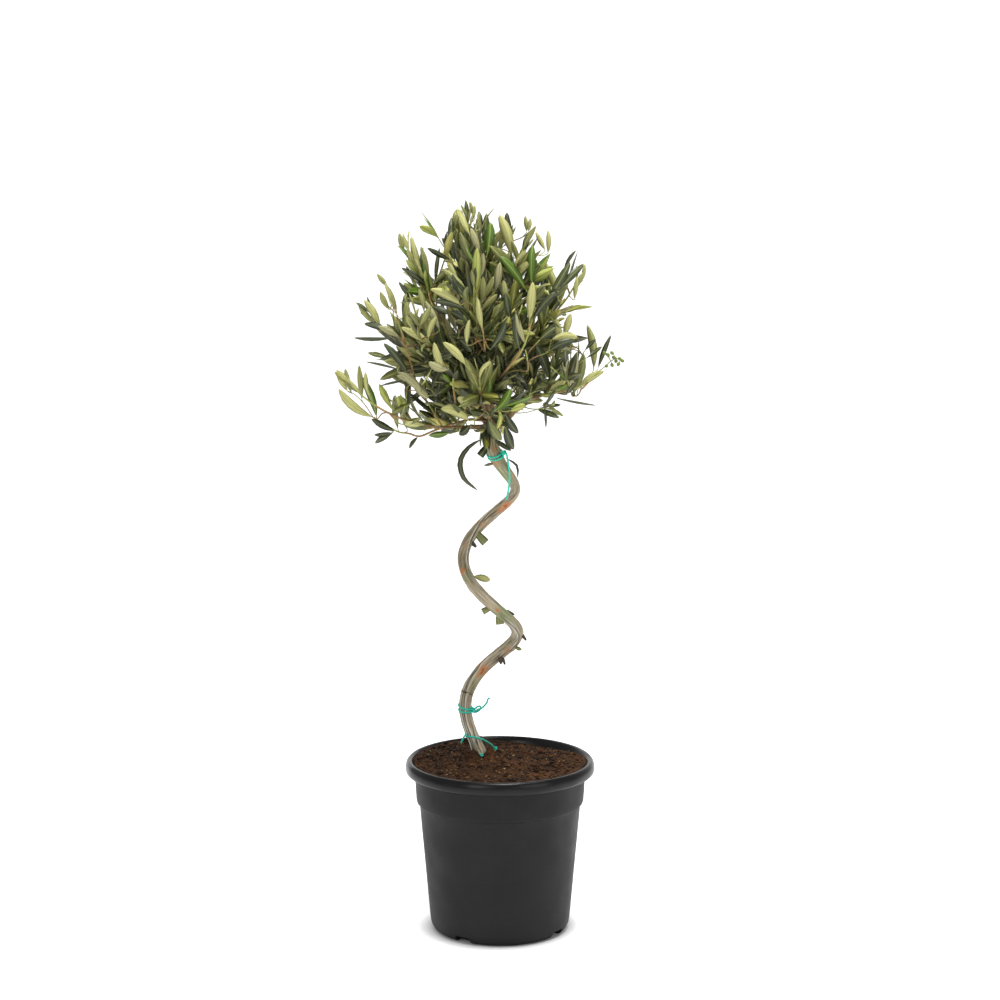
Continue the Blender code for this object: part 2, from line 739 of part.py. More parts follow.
def side_twigs(stem, name, chance):
    """The twigs of one stem, each as the lines to try in turn: a long one to each of the mass's other
    reaches, then pairs out to the crown's edge."""
    twigs = []
    for number, tip in enumerate(FOLIAGE[name][2][1:]):
        place, way = place_on(stem, LONG_TWIG_FIRST + LONG_TWIG_STEP * number)
        reach = Vector(tip)
        twigs.append([reaching_line(place, way + (reach - place).normalized(), reach, REACH_STEPS)])
    pairs = int(line_length(stem) * (PAIR_LAST - PAIR_FIRST) / TWIG_SPACING)
    spin = chance.uniform(0.0, math.tau)
    for pair in range(pairs):
        place, way = place_on(stem, PAIR_FIRST + (PAIR_LAST - PAIR_FIRST) * pair / max(pairs - 1, 1))
        for half in (0.0, math.pi):
            side = Quaternion(way, spin + half) @ way.orthogonal().normalized()
            heading = (way * math.cos(TWIG_ANGLE) + side * math.sin(TWIG_ANGLE)).normalized()
            room = min(TWIG_LENGTH, room_ahead(place, heading) - TIP_LEAF)
            length = room * chance.uniform(1.0 - SIZE_SPREAD, 1.0)
            tries = [length * less for less in TWIG_TRIES if length * less > TWIG_SHORTEST]
            twigs.append([twig_line(place, heading, one) for one in tries])
        spin += math.pi / 2.0 + chance.uniform(-TURN_SPREAD, TURN_SPREAD)
    return twigs


def twig_tube(points, sides, low_radius, high_radius, first_way=None):
    """A closed tube that tapers along a shoot."""
    steps = len(points) - 1
    radii = [low_radius + (high_radius - low_radius) * step / steps for step in range(steps + 1)]
    return tube(points, radii, sides, first_way)


def grow(name, limbs):
    """The solids of one mass: the stem, the twigs it bears and their leaves."""
    bough, _, tips, seed = FOLIAGE[name]
    chance = random.Random(seed)
    limb, limb_radii, _ = bough_line(bough)
    heading = (limb[-1] - limb[-2]).normalized()
    start = limb[-1] + heading * GAP
    stem = reaching_line(start, heading, Vector(tips[0]), STEM_STEPS)
    solids = [twig_tube(stem, STEM_SIDES, limb_radii[-1], TWIG_TIP_RADIUS, heading)]
    spots = leaf_places(stem, chance, STEM_LEAVES_FROM)
    for tries in side_twigs(stem, name, chance):
        for line in tries:
            twig = twig_tube(line, TWIG_SIDES, TWIG_RADIUS, TWIG_TIP_RADIUS)
            if in_space(twig[0], name) and clear_of_limbs(twig, limbs):
                solids.append(twig)
                spots.extend(leaf_places(line, chance, TWIG_LEAVES_FROM))
                break
    if name == BUD_SHOOT:
        way = (stem[-1] - stem[-2]).normalized()
        for along, spin in BUDS:
            side = Quaternion(way, spin) @ way.orthogonal().normalized()
            solids.append(bud(stem[-1] + way * along + side * (BUD_RADIUS * BUD_OUT)))
    grown = []
    leaves = [fitting_leaf(spot, name, limbs, grown) for spot in spots]
    return solids + [one for one in leaves if one is not None]


def largest_body(thing):
    """Keeps the largest closed shell of a mesh, which drops scraps and fills sealed hollows."""
    shape = bmesh.new()
    shape.from_mesh(thing.data)
    bmesh.ops.triangulate(shape, faces=shape.faces[:])
    waiting = set(shape.verts)
    shells = []
    while waiting:
        shell = set()
        edge = [waiting.pop()]
        while edge:
            vertex = edge.pop()
            shell.add(vertex)
            for link in vertex.link_edges:
                other = link.other_vert(vertex)
                if other in waiting:
                    waiting.remove(other)
                    edge.append(other)
        shells.append(shell)
    shells.sort(key=len, reverse=True)
    spare = [vertex for shell in shells[1:] for vertex in shell]
    bmesh.ops.delete(shape, geom=spare, context="VERTS")
    shape.to_mesh(thing.data)
    shape.free()


def fuse(name, solids):
    """One closed body from many that cross, by one union with the collection that holds them."""
    whole = add_object(name, *solids[0])
    parts = bpy.data.collections.new(f"{name}_parts")
    bpy.context.scene.collection.children.link(parts)
    for number, solid in enumerate(solids[1:]):
        part = add_object(f"{name}_part_{number}", *solid)
        bpy.context.scene.collection.objects.unlink(part)
        parts.objects.link(part)
    union = whole.modifiers.new("union", "BOOLEAN")
    union.operation = "UNION"
    union.operand_type = "COLLECTION"
    union.collection = parts
    union.solver = "EXACT"
    apply_modifiers(whole)
    for part in list(parts.objects):
        bpy.data.objects.remove(part, do_unlink=True)
    bpy.data.collections.remove(parts)
    largest_body(whole)
    return whole


def limb_surfaces(limbs):
    """One tree of all the faces of the trunk and the boughs."""
    points = []
    faces = []
    for limb in limbs:
        first = len(points)
        points.extend(vertex.co.copy() for vertex in limb.data.vertices)
        faces.extend(tuple(first + corner for corner in face.vertices) for face in limb.data.polygons)
    return BVHTree.FromPolygons(points, faces)


def main():
    """Makes the whole plant in its pot."""
    clear_scene()
    make_pot()
    make_soil()
    limbs = [make_trunk()]
    for name in BOUGHS:
        limbs.append(make_bough(name))
    surfaces = limb_surfaces(limbs)
    for name in FOLIAGE:
        mass = fuse(name, grow(name, surfaces))
        finish(mass, 20.0)


main()
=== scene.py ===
"""Dresses the potted olive tree: pot, compost, bark, boughs, twigs, leaves, ties and the stage around it.

Metres, +Z up. The front is the -Y side. Angles round a limb count from the side that faces the front.
"""

import math
import random

import bpy
import numpy as np
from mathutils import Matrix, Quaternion, Vector, noise
from mathutils.bvhtree import BVHTree
from mathutils.kdtree import KDTree


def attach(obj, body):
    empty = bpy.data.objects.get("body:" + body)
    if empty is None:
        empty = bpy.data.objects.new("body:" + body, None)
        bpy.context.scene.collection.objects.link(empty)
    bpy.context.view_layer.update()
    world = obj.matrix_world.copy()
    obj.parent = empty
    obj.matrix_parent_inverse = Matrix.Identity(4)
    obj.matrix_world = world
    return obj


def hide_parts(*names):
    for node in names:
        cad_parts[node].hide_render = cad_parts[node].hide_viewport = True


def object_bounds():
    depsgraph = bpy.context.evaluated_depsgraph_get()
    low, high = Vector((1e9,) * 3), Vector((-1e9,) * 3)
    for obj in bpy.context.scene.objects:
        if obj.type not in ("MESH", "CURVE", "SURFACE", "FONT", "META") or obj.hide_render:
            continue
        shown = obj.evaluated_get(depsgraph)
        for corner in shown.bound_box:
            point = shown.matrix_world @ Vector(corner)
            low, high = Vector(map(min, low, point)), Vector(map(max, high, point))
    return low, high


bl_info = {
    "name": "Potted olive tree",
    "version": (1, 0, 0),
    "blender": (4, 5, 0),
    "location": "3D View > Sidebar > Olive",
    "description": "Builds the finish of a small potted olive tree with a wound stem",
    "category": "Add Mesh",
}

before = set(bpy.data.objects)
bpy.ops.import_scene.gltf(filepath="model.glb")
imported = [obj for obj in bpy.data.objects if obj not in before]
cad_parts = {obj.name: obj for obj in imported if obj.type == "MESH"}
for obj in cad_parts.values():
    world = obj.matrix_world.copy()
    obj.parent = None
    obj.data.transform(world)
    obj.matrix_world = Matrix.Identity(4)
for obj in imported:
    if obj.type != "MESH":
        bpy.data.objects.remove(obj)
CAD_BOX = [list(corner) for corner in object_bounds()]

MILLIMETRE = 0.001
UP = Vector((0.0, 0.0, 1.0))
FRONT = Vector((0.0, -1.0, 0.0))
FOLIAGE_NODES = sorted(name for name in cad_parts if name.startswith("foliage"))
BOUGH_NODES = sorted(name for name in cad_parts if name.startswith("bough"))

# Pot, from the underside to the lip and down inside: radius and height in metres
POT_OUTSIDE = (
    (0.0765, 0.0006), (0.0793, 0.0023), (0.0812, 0.005), (0.0825, 0.0082), (0.0832, 0.0118), (0.0841, 0.02),
    (0.0872, 0.056), (0.0902, 0.09), (0.0929, 0.12), (0.0957, 0.1525), (0.0962, 0.1538), (0.0977, 0.1548),
    (0.0988, 0.1555), (0.0993, 0.157), (0.0996, 0.16), (0.1004, 0.172), (0.101, 0.186), (0.1012, 0.189),
    (0.1024, 0.1901), (0.1072, 0.1901), (0.11, 0.1909), (0.1117, 0.1927), (0.1124, 0.1952), (0.1124, 0.1978),
    (0.112, 0.2003), (0.1113, 0.2026), (0.1102, 0.2044), (0.1089, 0.2056), (0.1076, 0.206), (0.1062, 0.2058),
    (0.1049, 0.205), (0.1037, 0.2036), (0.1026, 0.2016), (0.1012, 0.1985), (0.1, 0.194), (0.0988, 0.186),
)
POT_INSIDE = ((0.0914, 0.148), (0.0856, 0.09), (0.0812, 0.02), (0.0797, 0.011), (0.0715, 0.0028))
POT_FLAT = 0.0735
POT_SIDES = 128
POT_CREASE = math.radians(32.0)
NOTCH_FIRST = math.radians(-33.0)
NOTCH_COUNT = 4
NOTCH_REACH = (0.066, 0.092)
NOTCH_WIDTHS = (0.027, 0.019)
NOTCH_HEIGHT = 0.0085

# Compost
SOIL_RADIUS = 0.1015
SOIL_EDGE = 0.2030
SOIL_MOUND = 0.0080
SOIL_FLAT = 0.020
SOIL_SLOPE = 0.062
SOIL_FLOOR = 0.0030
SOIL_RIM = 0.2046

# The compost has sunk at the back right: which way that is, how narrow and deep it is, and where it starts
SINK_TOWARDS = math.radians(56.0)
SINK_NARROWNESS = 5
SINK_DEPTH = 0.0068
SINK_FROM = 0.060
SINK_OVER = 0.036
# The compost's foot, how many sides it has, and the rings from its edge to its middle
SOIL_FOOT = 0.0712
SOIL_SIDES = 160
SOIL_INSETS = 48
SOIL_INSET = 0.0020
# How far out loose crumbs lie, and how clear of the stem
CRUMB_REACH = 0.0985
CRUMB_CLEAR = 0.0105
CRUMB_TONES = (
    ("dark_peat_crumb", "#24170d"),
    ("brown_peat_crumb", "#442c18"),
    ("red_bark_chip", "#5a381e"),
    ("tan_bark_chip", "#745330"),
    ("pale_grit", "#b9a888"),
)
# Heaps of crumbs that bury both sides of the stem's foot: across and ahead of the foot, reach and height
HEAPS = ((0.01, 0.0062, 0.0125, 0.0128), (-0.01, 0.008, 0.0112, 0.0105))
# Larger pale chips on the compost: place, length in millimetres and turn
CHIPS = (
    (38, 37, 5.2, 0.4), (16, -1, 4.4, 0.3), (55, 2, 3.6, 2.4), (5, -53, 3.2, 0.8), (-84, -3, 4.2, 0.1),
    (-62, -68, 3.4, 2.8), (-22, -24, 3.0, 1.2), (58, -62, 3.4, 1.9),
)
# How far out the compost may lie at a height, inside the wall
SOIL_LIMIT = ((0.194, 0.0994), (0.1985, 0.1005), (0.2016, 0.1018), (0.2036, 0.1029), (0.205, 0.1041))
SOIL_SIDE = ((0.079, 0.011), (0.085, 0.09), (0.0905, 0.146), (0.0948, 0.17), (0.0983, 0.196))
GROUND = SOIL_EDGE + SOIL_MOUND

# Trunk: the same wound stem as the solid
TRUNK_AXIS_X = -0.0105
TRUNK_AXIS_Y = 0.0220
TRUNK_LEAN = 0.0058
LEAN_FROM = 0.400
SPIRAL_RADIUS = 0.0315
SPIRAL_PITCH = 0.178
SPIRAL_LEFT = 0.265
SPIRAL_FOOT = 0.2065
SPIRAL_SLOWING = 0.107
BASE_SLOWING = 0.28
SPIRAL_END = 0.507
SPIRAL_CLOSING = 0.104
# Where the stem swings a little to the right of the spiral: height, reach and how far
SWINGS = ((0.567, 0.03, 0.0024), (0.4455, 0.045, -0.0017), (0.262, 0.045, 0.0015))
FORK_HEIGHT = 0.600
FORK_RADIUS = 0.0092
FLARE_HEIGHT = 0.028
FLARE = 0.0008
TRUNK_GIRTH = (
    (0.205, 0.0067), (0.235, 0.0071), (0.27, 0.0074), (0.45, 0.0064), (0.53, 0.0056), (0.553, 0.0068),
    (0.568, 0.0081), (0.585, 0.0077),
)
TRUNK_SIDES = 72
TRUNK_RINGS = 560

# Knots on the stem: height, angle from the front, how far each stands out and its width
KNOTS = (
    (0.224, -1.1, 0.001, 0.005), (0.262, -1.5, 0.0006, 0.005), (0.305, -0.9, 0.001, 0.005),
    (0.334, 1.7, 0.0016, 0.0046), (0.358, -0.8, 0.0007, 0.005), (0.386, 0.3, 0.0012, 0.0052),
    (0.415, -1.4, 0.001, 0.0046), (0.4295, -0.3, 0.0013, 0.0056), (0.4545, -0.4, 0.001, 0.005),
    (0.479, 0.1, 0.0019, 0.0064), (0.506, 0.9, 0.0007, 0.0044), (0.536, 0.4, 0.0006, 0.0044),
    (0.565, -0.9, 0.0015, 0.006), (0.584, 0.8, 0.0012, 0.0056),
)
# Pale ridges up the stem beside a cleft that is cut in and painted with shade: rows of height and angle, and
# the cleft's side
RIDGES = (
    (((0.212, -0.5), (0.235, 0.0), (0.248, 0.0), (0.263, 0.05), (0.277, -0.2), (0.3, -0.6), (0.322, -1.2)),
      -1.0),
    (((0.424, 1.3), (0.433, 0.85), (0.445, 0.65), (0.457, 0.3), (0.475, -0.5), (0.484, -1.0), (0.5, -1.4)),
      1.0), (((0.212, 0.5), (0.222, 0.45), (0.236, 0.75), (0.25, 1.1)), -1.0),
    (((0.212, -1.4), (0.23, -0.9), (0.25, -0.75), (0.28, -0.95), (0.31, -1.6)), 1.0),
    (((0.33, 0.5), (0.35, 0.2), (0.372, -0.5), (0.39, -1.1)), 1.0),
    (((0.3, 2.9), (0.36, 2.4), (0.42, 3.0), (0.48, 2.5)), 1.0),
)
RIDGE_RISE = 0.00055
RIDGE_WIDTH = 0.0008
CLEFT_DEPTH = 0.0008
# Orange scars and stained patches: height, angle, half-length, half-width in metres, strength
SCARS = (
    (0.505, 0.35, 0.0095, 0.0052, 1.0), (0.48, 0.1, 0.0034, 0.0044, 0.45),
    (0.479, -1.15, 0.0024, 0.0022, 1.0), (0.4545, -0.4, 0.003, 0.0028, 0.5),
    (0.4295, -0.3, 0.0036, 0.004, 0.8), (0.3898, -0.05, 0.0022, 0.0026, 0.8),
    (0.333, 0.2, 0.005, 0.0036, 0.5), (0.3015, 0.1, 0.0085, 0.005, 0.9), (0.305, -1.2, 0.005, 0.002, 0.9),
    (0.2425, 0.7, 0.0024, 0.0024, 0.5), (0.2205, 0.6, 0.0024, 0.0028, 0.5),
    (0.584, -0.35, 0.004, 0.0042, 0.9), (0.575, 0.3, 0.005, 0.005, 0.45), (0.562, -0.6, 0.004, 0.005, 0.5),
    (0.545, 0.9, 0.006, 0.0024, 0.5),
)
# Where green algae tint the bark: height, half-length, strength
ALGAE = (
    (0.59, 0.04, 1.0), (0.548, 0.024, 0.8), (0.384, 0.014, 0.95), (0.425, 0.016, 0.4), (0.29, 0.016, 0.35),
)

# Crown: the same dome, boughs and masses as the solids
GAP = 0.0003
CROWN_CENTRE = Vector((-0.024, 0.014, 0.712))
CROWN_WIDE = 0.124
CROWN_DEEP = 0.118
CROWN_ABOVE = 0.143
CROWN_BELOW = 0.130
CROWN_FULLNESS = 2.6
CROWN_FLOOR = 0.582
CELL_CLEARANCE = 0.0005
LIMB_CLEARANCE = 0.0010
START_PULL = 0.38
TIP_PULL = 0.34
LEADER_STEPS = 12
BOUGH_STEPS = 5
STEM_STEPS = 6
REACH_STEPS = 4
TWIG_STEPS = 3
TWIG_WIDTH = 0.0013
TWIG_SPACING = 0.026
TWIG_LENGTH = 0.088
TWIG_SHORTEST = 0.026
TWIG_TRIES = (1.0, 0.8, 0.6)
TWIG_ANGLE = math.radians(52.0)
TWIG_LIFT = 0.55
LONG_TWIG_FIRST = 0.16
LONG_TWIG_STEP = 0.20
PAIR_FIRST = 0.10
PAIR_LAST = 0.88
STEM_LEAVES_FROM = 0.12
TWIG_LEAVES_FROM = 0.20
LAST_PAIR = 0.985
YOUNG_FROM = 0.55
YOUNG_SMALLER = 0.34
YOUNG_CLOSER = 0.62
SIZE_SPREAD = 0.15
TURN_SPREAD = 0.3
LEAF_SPACING = 0.0178
LEAF_ANGLE = math.radians(40.0)
LEAF_LIFT = 0.18
LEAF_CLEAR_FROM = 0.16
LEAF_TRIES = ((0.0, 1.0), (0.5, 1.0), (-0.5, 0.9), (1.0, 0.8), (-1.0, 0.7))
TIP_LEAF = 0.024
REACH_LEAVES = 0.058
LOOK_AHEAD = 0.002

# Each bough: what it grows from (None for the fork, or a share of the leader's length), the way it
# leaves that, the tip, the heading at the tip, and its radius at both ends
BOUGHS = {
    "leader": (None, (-0.1, -0.05, 1.0), (-0.024, 0.014, 0.688), (-0.1, 0.0, 1.0), 0.0042, 0.0028),
    "right": (None, (0.86, -0.25, 0.42), (0.041, -0.002, 0.639), (1.0, -0.25, 0.05), 0.0036, 0.0024),
    "left_low": (None, (-0.9, -0.42, 0.1), (-0.052, -0.008, 0.604), (-1.0, -0.15, 0.02), 0.003, 0.002),
    "front": (None, (-0.05, -0.86, 0.46), (-0.018, -0.02, 0.628), (-0.1, -0.75, 0.6), 0.003, 0.0022),
    "back_left": (None, (-0.52, 0.74, 0.38), (-0.038, 0.05, 0.626), (-0.55, 0.55, 0.55), 0.0032, 0.0023),
    "back_right": (None, (0.52, 0.74, 0.38), (0.014, 0.052, 0.626), (0.55, 0.55, 0.55), 0.0032, 0.0023),
    "left": (0.25, (-1.0, 0.1, 0.3), (-0.048, 0.018, 0.65), (-0.6, 0.05, 0.8), 0.0026, 0.0019),
    "back_top": (0.36, (0.05, 1.0, 0.3), (-0.014, 0.044, 0.662), (0.0, 0.5, 0.85), 0.0024, 0.0018),
    "front_top": (0.46, (-0.15, -1.0, 0.3), (-0.024, -0.014, 0.672), (-0.05, -0.6, 0.8), 0.0024, 0.0018),
    "right_top": (0.58, (1.0, 0.25, 0.35), (0.008, 0.022, 0.68), (0.7, 0.1, 0.7), 0.0024, 0.0018),
    "left_top": (0.72, (-0.95, -0.25, 0.35), (-0.05, 0.004, 0.7), (-0.6, -0.1, 0.8), 0.0023, 0.0017),
    "front_left": (0.64, (-0.72, -0.69, 0.3), (-0.054, -0.026, 0.684), (-0.6, -0.5, 0.6), 0.0023, 0.0017),
    "front_right": (0.84, (0.62, -0.78, 0.35), (0.0, -0.008, 0.704), (0.4, -0.35, 0.85), 0.0023, 0.0017),
}

# Each mass of foliage: its bough, the middle of the space it keeps to, how far its shoots reach, and
# the seed of its chances
FOLIAGE = {
    "top": ("leader", (-0.026, 0.014, 0.77),
        ((-0.038, 0.0, 0.864), (-0.002, 0.022, 0.848), (-0.056, 0.03, 0.84)), 4),
    "left_top": ("left_top", (-0.092, -0.01, 0.776),
        ((-0.111, -0.012, 0.831), (-0.14, -0.006, 0.788), (-0.088, -0.044, 0.796)), 35),
    "front_right": ("front_right", (0.03, -0.036, 0.778),
        ((0.031, -0.024, 0.85), (0.054, -0.03, 0.832), (0.062, -0.058, 0.772), (0.006, -0.062, 0.822)), 9),
    "right_top": ("right_top", (0.068, 0.024, 0.738),
        ((0.098, 0.006, 0.792), (0.094, -0.01, 0.73), (0.074, 0.056, 0.776)), 12),
    "left": ("left", (-0.108, 0.022, 0.706),
        ((-0.158, 0.006, 0.752), (-0.15, 0.014, 0.704), (-0.136, 0.05, 0.728)), 17),
    "left_low": ("left_low", (-0.104, -0.03, 0.63),
        ((-0.188, -0.024, 0.674), (-0.146, -0.026, 0.598), (-0.108, -0.04, 0.69), (-0.1, -0.074, 0.628)),
        24),
    "right_low": ("right", (0.078, -0.026, 0.656),
        ((0.138, -0.034, 0.692), (0.106, -0.02, 0.716), (0.074, -0.074, 0.694), (0.084, 0.024, 0.65)), 22),
    "front_low": ("front", (-0.02, -0.074, 0.654),
        ((-0.024, -0.106, 0.69), (-0.06, -0.084, 0.622), (0.026, -0.092, 0.644)), 24),
    "front_left": ("front_left", (-0.086, -0.072, 0.706),
        ((-0.106, -0.088, 0.744), (-0.122, -0.054, 0.716), (-0.064, -0.104, 0.704)), 17),
    "front_top": ("front_top", (-0.028, -0.066, 0.744),
        ((-0.03, -0.098, 0.796), (-0.062, -0.074, 0.776), (0.024, -0.096, 0.746)), 32),
    "back_left": ("back_left", (-0.08, 0.088, 0.68),
        ((-0.104, 0.108, 0.72), (-0.126, 0.08, 0.668), (-0.05, 0.126, 0.686)), 22),
    "back_right": ("back_right", (0.044, 0.09, 0.676),
        ((0.056, 0.114, 0.724), (0.09, 0.08, 0.672), (0.004, 0.126, 0.676)), 18),
    "back_top": ("back_top", (-0.014, 0.08, 0.756),
        ((-0.02, 0.096, 0.822), (0.04, 0.09, 0.792), (-0.074, 0.086, 0.786)), 9),
}

# The collar at a bough's foot: how far it reaches into what bears it, how much it swells and how far up
COLLAR_DEPTH = 0.0045
COLLAR_SWELL = 0.55
COLLAR_REACH = 0.011
BOUGH_SIDES = 16
# What the finer growth adds to the source's shoots
FINE_SEED = 81
STEM_TIP_RADIUS = 0.0009
TWIG_ROOT_RADIUS = 0.0012
TWIG_END_RADIUS = 0.0006
SIDE_TWIG_SPACING = 0.021
SIDE_TWIG_LENGTH = 0.034
SIDE_TWIG_RADIUS = 0.0007
SHOOT_SIDES = 7

# Leaves of the finer growth may touch nearer their roots, and are tested as narrower
LOOSE_CLEAR_FROM = 0.3
LOOSE_WIDTH = 0.75
# Side shoots: up to where on a twig, how they lean along it, how much shorter the last one is, the turn
# from one to the next, and how far out in the crown their tips may be
SIDE_TWIGS_TO = 0.9
SIDE_TWIG_LEAN = 0.75
SIDE_TWIG_TAPER = 0.35
SIDE_TWIG_TURN = 2.4
SIDE_TWIG_EDGE = 0.97
# Leaves on a short shoot: where they start, how much closer they stand and how much smaller they are
SHORT_LEAVES_FROM = 0.3
SHORT_LEAVES_CLOSER = 0.62
SHORT_LEAVES_SMALLER = 0.9
RIB_SHARE = 0.055
# How many pairs of leaves the finer growth tries for each of the source's
EXTRA_PAIRS = 1.35
# Outline of a leaf: places along it and half-widths there, as shares of its length and width
LEAF_OUTLINE = (
    (0.0, 0.05), (0.08, 0.06), (0.2, 0.27), (0.38, 0.44), (0.56, 0.5), (0.74, 0.43), (0.91, 0.22),
    (1.0, 0.02),
)
CUT_OUTLINE = ((0.0, 0.1), (0.12, 0.24), (0.35, 0.42), (0.7, 0.5), (1.0, 0.5))
# Bands round a leaf: the corner each starts at, its slot (0 upper, 1 under, 2 rib) and which way it splits
BLADE_BANDS = ((0, 0, True), (1, 2, True), (2, 0, False), (3, 1, True), (4, 2, True), (5, 1, False))
# Leaves stand closer inside the crown than at its edge: the shares of the dome between which they thin
THIN_FROM = 0.50
THIN_OVER = 0.30
THIN_BY = 0.90
# Short shoots straight from the boughs, that fill the crown's middle: places along a bough, length,
# how they lean along it and how low they may hang
INNER_PLACES = (0.3, 0.58, 0.86)
INNER_LENGTH = 0.046
INNER_LEAN = 0.6
INNER_LOWEST = CROWN_FLOOR + 0.012
# How near leaves are tested against each other, how many leaves make a piece, how near a shoot a leaf
# that it bears is, how near wood a root needs no twig, and the step between places on the wood
NEAR = 0.09
LEAVES_IN_A_PIECE = 2100
BORNE_NEAR = 0.0016
JOINED_NEAR = 0.0008
WOOD_STEP = 0.006
# Openings in the crown's outline as they show from the front, on an upright plane through its middle:
# place across, height and radius in millimetres
SKY_PLANE = 0.014
SKY = (
    (-68, 836, 10), (-74, 815, 10), (-74, 795, 13), (-123, 783, 12), (-123, 763, 12), (-137, 732, 10),
    (-145, 701, 12), (-131, 697, 10), (-146, 667, 9), (-124, 650, 8), (-135, 623, 9), (-124, 589, 10),
    (-68, 584, 9), (-49, 586, 12), (-33, 589, 9), (19, 612, 9), (35, 609, 12), (53, 606, 12), (41, 626, 8),
    (77, 636, 9), (98, 649, 12), (122, 665, 10), (98, 672, 7), (88, 755, 12), (88, 729, 10), (86, 714, 8),
    (64, 799, 8), (-7, 833, 6), (25, 828, 7), (6, 809, 6),
)
